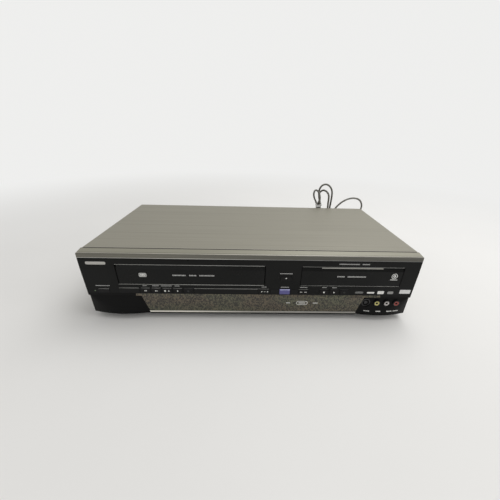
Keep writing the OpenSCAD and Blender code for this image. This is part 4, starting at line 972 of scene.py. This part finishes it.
def word_bars(shape, y, z, height, spans):
    """Rows of plain upright ticks where words stand; y is a level or follows a curved face."""
    for left, right in spans:
        count = max(2, round((right - left) / (height * 0.95)))
        pitch = (right - left) / count
        for i in range(count):
            x = left + i * pitch
            at, lean = y, 0.0
            if callable(y):
                at = y(x, z)
                lean = (y(x, z + height / 2) - y(x, z - height / 2)) / height
            before = set(shape.verts)
            bar(shape, (x, x + pitch * 0.72), inked(at, 0.09, 0.04), about(z, height / 2),
                height * 0.16, "y", 2)
            for v in set(shape.verts) - before:
                v.co.y += lean * (v.co.z - z)


def make_label_ticks():
    """Ticks in the places of the words: above the keys, on the flap, door and window."""
    labels = (
        ("key", "cabinet", grey_ink, [
            (FACE, 51.9, 1.1, [(-144.0, -138.6), (-131.6, -123.0), (-120.3, -106.3),
                               (-102.6, -96.2)]),
            (FACE, 51.4, 1.1, [(-204.5, -186.2)]),
            (FACE, 51.6, 1.1, [(12.0, 18.6), (37.4, 48.6), (63.4, 73.0), (92.8, 99.2),
                               (106.6, 113.0)]),
            (FACE, 72.4, 1.2, [(35.2, 51.6)])]),
        ("flap", "flap", grey_ink, [
            (FACE - 0.02, 68.1, 1.9, [(-103.4, -86.2), (-82.0, -72.6), (-69.0, -49.4)])]),
        ("door", "tray", grey_ink, [
            (FACE - 0.02, 68.8, 1.9, [(110.4, 120.4), (124.0, 148.8)])]),
        ("upper", "cabinet", grey_ink, [
            (FACE + 0.25, 87.2, 1.5, [(110.2, 136.8), (140.2, 149.8)])]),
        ("window", "cabinet", white_ink, [
            (WINDOW_FACE, 26.6, 1.3, [(46.4, 52.0), (83.4, 90.2)])]),
    )
    for name, body, ink, rows in labels:
        fit_out(drawn(word_bars, rows), name + "_label_ticks", ink, body)


def make_pictograms():
    """A cassette's outline on the flap and a disc's outline on the door."""
    face = FACE - 0.02
    ink = inked(face, sunk=0.03)
    shape = drawn(bar, [
        ((-145.8, -136.4), ink, (65.4, 66.2), 0.3, "y", 2),
        ((-145.8, -136.4), ink, (70.2, 71.0), 0.3, "y", 2),
        ((-145.8, -145.0), ink, (65.4, 71.0), 0.3, "y", 2),
        ((-137.2, -136.4), ink, (65.4, 71.0), 0.3, "y", 2),
        ((-141.8, -140.4), ink, (66.8, 69.6), 0.2, "y", 2)])
    for x in (-143.2, -139.0):
        ring(shape, 0.5, 1.4, (x, face, 68.2), FRONTWARD, INK, 20)
    fit_out(shape, "cassette_pictogram", white_ink, "flap")
    shape = drawn(ring, [(3.2, 4.0, (186.4, face, 70.2), FRONTWARD, INK),
                         (0.7, 1.9, (186.4, face, 70.2), FRONTWARD, INK)])
    bar(shape, (181.4, 191.4), ink, (64.4, 65.3), 0.3, "y", 2)
    fit_out(shape, "disc_pictogram", white_ink, "tray")


def make_feature_plates():
    """Bare plates in a row at the lower right of the front."""
    # Width, how proud, height, corners and ink
    plates = (
        ((139, 150.2), 0.08, (42.6, 45.8), 1.2, 4, dim_ink),
        ((155.4, 165.4), 0.08, (42.8, 45.2), 0.8, 4, white_ink),
        ((169.8, 178.6), 0.08, (42, 46.8), 0.9, 4, white_ink),
        ((183.4, 191.6), 0.08, (42.2, 46.4), 1.6, 5, soft_ink),
        ((199.9, 214.6), 0.12, (43, 49.2), 0.7, 3, pale_plate),
    )
    for number, (x, proud, z, corner, segments, ink) in enumerate(plates, 1):
        shape = drawn(bar, [(x, inked(FACE, proud, 0.05), z, corner, "y", segments)])
        fit_out(shape, f"feature_plate_{number}", ink)


def make_lamps():
    """Lamp dots and the oval between them on the smoked window, and the standby lamp."""
    middle, z = 68.1, 26.6
    shape = drawn(ring, [(2.5, 3.1, (middle, WINDOW_FACE + 0.02, z), FRONTWARD, 0.1, 40, 4.7)])
    bar(shape, (63.4, 72.8), inked(WINDOW_FACE), (26.0, 27.2), 0.4, "y", 2)
    fit_out(shape, "window_oval", white_ink)
    shape = drawn(mark, [(24, 1.0, (x, WINDOW_FACE, z), 0.0, 0.1) for x in (57.2, 79.2)])
    fit_out(shape, "window_lamps", lamp_and_shade_dark)
    shape = drawn(mark, [(20, 0.75, (-206.9, FACE, 43.6), 0.0, 0.25)])
    fit_out(shape, "standby_lamp", lamp_green)


def round_rim(shape, radius, at):
    """A ring of round section that faces the front."""
    thick = 0.45
    section = [(radius + thick * cos(i * pi / 4), thick * sin(i * pi / 4)) for i in range(9)]
    turned(shape, section, at, FRONTWARD)


def make_front_sockets():
    """Insulators, throats and rims of the front sockets, pins and words; the throats and the
    S-video pins are dark as painted shade.
    """
    collar = [(1.74, -0.3), (1.74, 0.05), (2.0, 0.02), (3.0, 0.34), (3.25, 0.34),
              (3.3, -0.02), (1.74, -0.3)]
    for x, (name, material) in zip(FRONT_SOCKETS, INSULATORS.items()):
        shape = drawn(turned, [(collar, (x, -112.58, SOCKET_LEVEL), FRONTWARD, 36)])
        fit_out(shape, "front_socket_" + name, material)
    # Dark linings of the bores: painted shade
    shape = drawn(ring, [(1.35, 1.67, (x, -112.4, SOCKET_LEVEL), BACKWARD, 6)
                         for x in FRONT_SOCKETS])
    fit_out(shape, "front_socket_throats", lamp_and_shade_dark, smooth=True)
    shape = drawn(round_rim, [(6.5, (S_VIDEO, -110.6, 28.1))])
    for x in FRONT_SOCKETS:
        round_rim(shape, 4.7, (x, -111.4, SOCKET_LEVEL))
    fit_out(shape, "front_socket_rims", pod_black, smooth=True)
    # The S-video pins in dark metal: painted shade of the deep socket
    pin = [(0, 0), (0.45, 0), (0.45, 0.5), (0.2, 0.7), (0, 0.7)]
    shape = drawn(turned, [(pin, (x, -110.6, z), FRONTWARD, 12) for x, z in (
        (155.8, 29.8), (158.6, 29.8), (155.2, 27.2), (159.2, 27.2))])
    fit_out(shape, "s_video_pins", screw_black)
    shape = drawn(word_bars, [(front_of("front_bezel"), 15.6, 1.5, [
        (155.6, 163.8), (172.4, 179.4), (188.0, 195.8), (197.4, 205.6)])])
    fit_out(shape, "socket_label_ticks", white_ink)


# ---------- rear, sides and underside ----------

def make_rear_sockets():
    """Insulators in the rear sockets, their nickel barrels and the aerial threads."""
    for x, (name, material) in zip(REAR_SOCKETS, INSULATORS.items()):
        shape = drawn(ring, [(1.72, 3.3, (x, PANEL + 8.95, z), BACKWARD, 0.25)
                             for z in REAR_ROWS])
        fit_out(shape, "rear_socket_" + name, material, smooth=True)
    shape = bmesh.new()
    for x in REAR_SOCKETS:
        for z in REAR_ROWS:
            ring(shape, 4.13, 4.25, (x, PANEL + 0.1, z), BACKWARD, 8.9)
            ring(shape, 3.3, 4.25, (x, PANEL + 8.9, z), BACKWARD, 0.2)
    fit_out(shape, "rear_socket_barrels", nickel)
    shape = drawn(ring, [(4.7, 4.95, (-198, PANEL + 1.4 + i * 1.15, z), BACKWARD, 0.6, 28)
                         for z in (37.5, 61.5) for i in range(9)])
    fit_out(shape, "aerial_threads", nickel)


def make_rear_screws():
    """Domed screw heads on the rear panel, and dark crosses on them and on the side screws as
    painted shade of their cross recesses.
    """
    heads = [(-208, 93), (208, 93), (-120, 20), (96, 20), (208, 16), (-70, 38.5), (44, 38.5)]
    radius, height = 2.6, 1.3
    dome = [(0, 0), (radius, 0), (radius, height * 0.45), (radius * 0.8, height * 0.85),
            (radius * 0.45, height), (0, height)]
    shape = drawn(turned, [(dome, (x, PANEL, z), BACKWARD, 20) for x, z in heads])
    fit_out(shape, "rear_panel_screws", screw_black)
    shape = drawn(bar, [(about(x, a), (PANEL + 1.1, PANEL + 1.36), about(z, b))
                        for x, z in heads for a, b in ((1.5, 0.3), (0.3, 1.5))])
    fit_out(shape, "rear_screw_crosses", lamp_and_shade_dark)
    shape = bmesh.new()
    for x in (-218.9, 218.9):
        for y in (-60, 66):
            bar(shape, about(x, 0.12), about(y, 1.8), (18.15, 18.85))
            bar(shape, about(x, 0.12), about(y, 0.35), (16.7, 20.3))
    fit_out(shape, "side_screw_crosses", lamp_and_shade_dark)


def make_rear_labels():
    """Bare pale plates and group lines printed on the rear panel."""
    shape = drawn(bar, [((52, 84), (PANEL - 0.02, PANEL + 0.12), (66, 84), 1.2, "y", 3)])
    fit_out(shape, "rating_plate", pale_plate)
    ink = (PANEL - 0.02, PANEL + 0.08)
    shape = drawn(bar, [((-60, 36), ink, about(z, 0.25)) for z in (22.6, 54.6)])
    for x in REAR_SOCKETS:
        bar(shape, about(x, 3.2), ink, (37.9, 38.9), 0.3, "y", 2)
    for z in (47.5, 71.5):
        bar(shape, (-203, -193), ink, about(z, 0.5), 0.3, "y", 2)
    fit_out(shape, "rear_label_bars", grey_ink)


def make_cover_folds():
    """Painted shadow in the seam ahead of the cover, its front hem with a painted highlight, and
    the folded rims behind it.
    """
    shape = drawn(bar, [((-214.5, 214.5), (-97.5, -95.5), (98.8, 99.38), 0.2, "x", 2)])
    fit_out(shape, "cover_front_seal", seam_shadow_black)
    shape = drawn(bead, [((TRIM_LEFT + 2.5, TRIM_RIGHT - 2.5),
                          (COVER_FRONT + 0.45, COVER_TOP - 0.22), 0.34)])
    fit_out(shape, "cover_front_hem", crest_highlight_metal, smooth=True)
    depth = (BACK - 3.2, BACK - 0.3)
    shape = drawn(bar, [(about(x, 0.55), depth, (14, 92), 0.3, "z", 2) for x in (-216.4, 216.4)])
    bar(shape, (-205, 205), depth, (97.2, 98.3), 0.3, "x", 2)
    fit_out(shape, "cover_rear_rims", silver)


# ---------- assembly ----------

set_up_camera()
make_lead()
set_up_studio()
lay_floor()
dress_nodes()
make_key_marks()
make_key_rims()
make_front_trim()
make_gap_shadows()
make_window_edges()
make_trim_edges()
make_label_ticks()
make_pictograms()
make_feature_plates()
make_lamps()
make_front_sockets()
make_rear_sockets()
make_rear_screws()
make_rear_labels()
make_cover_folds()
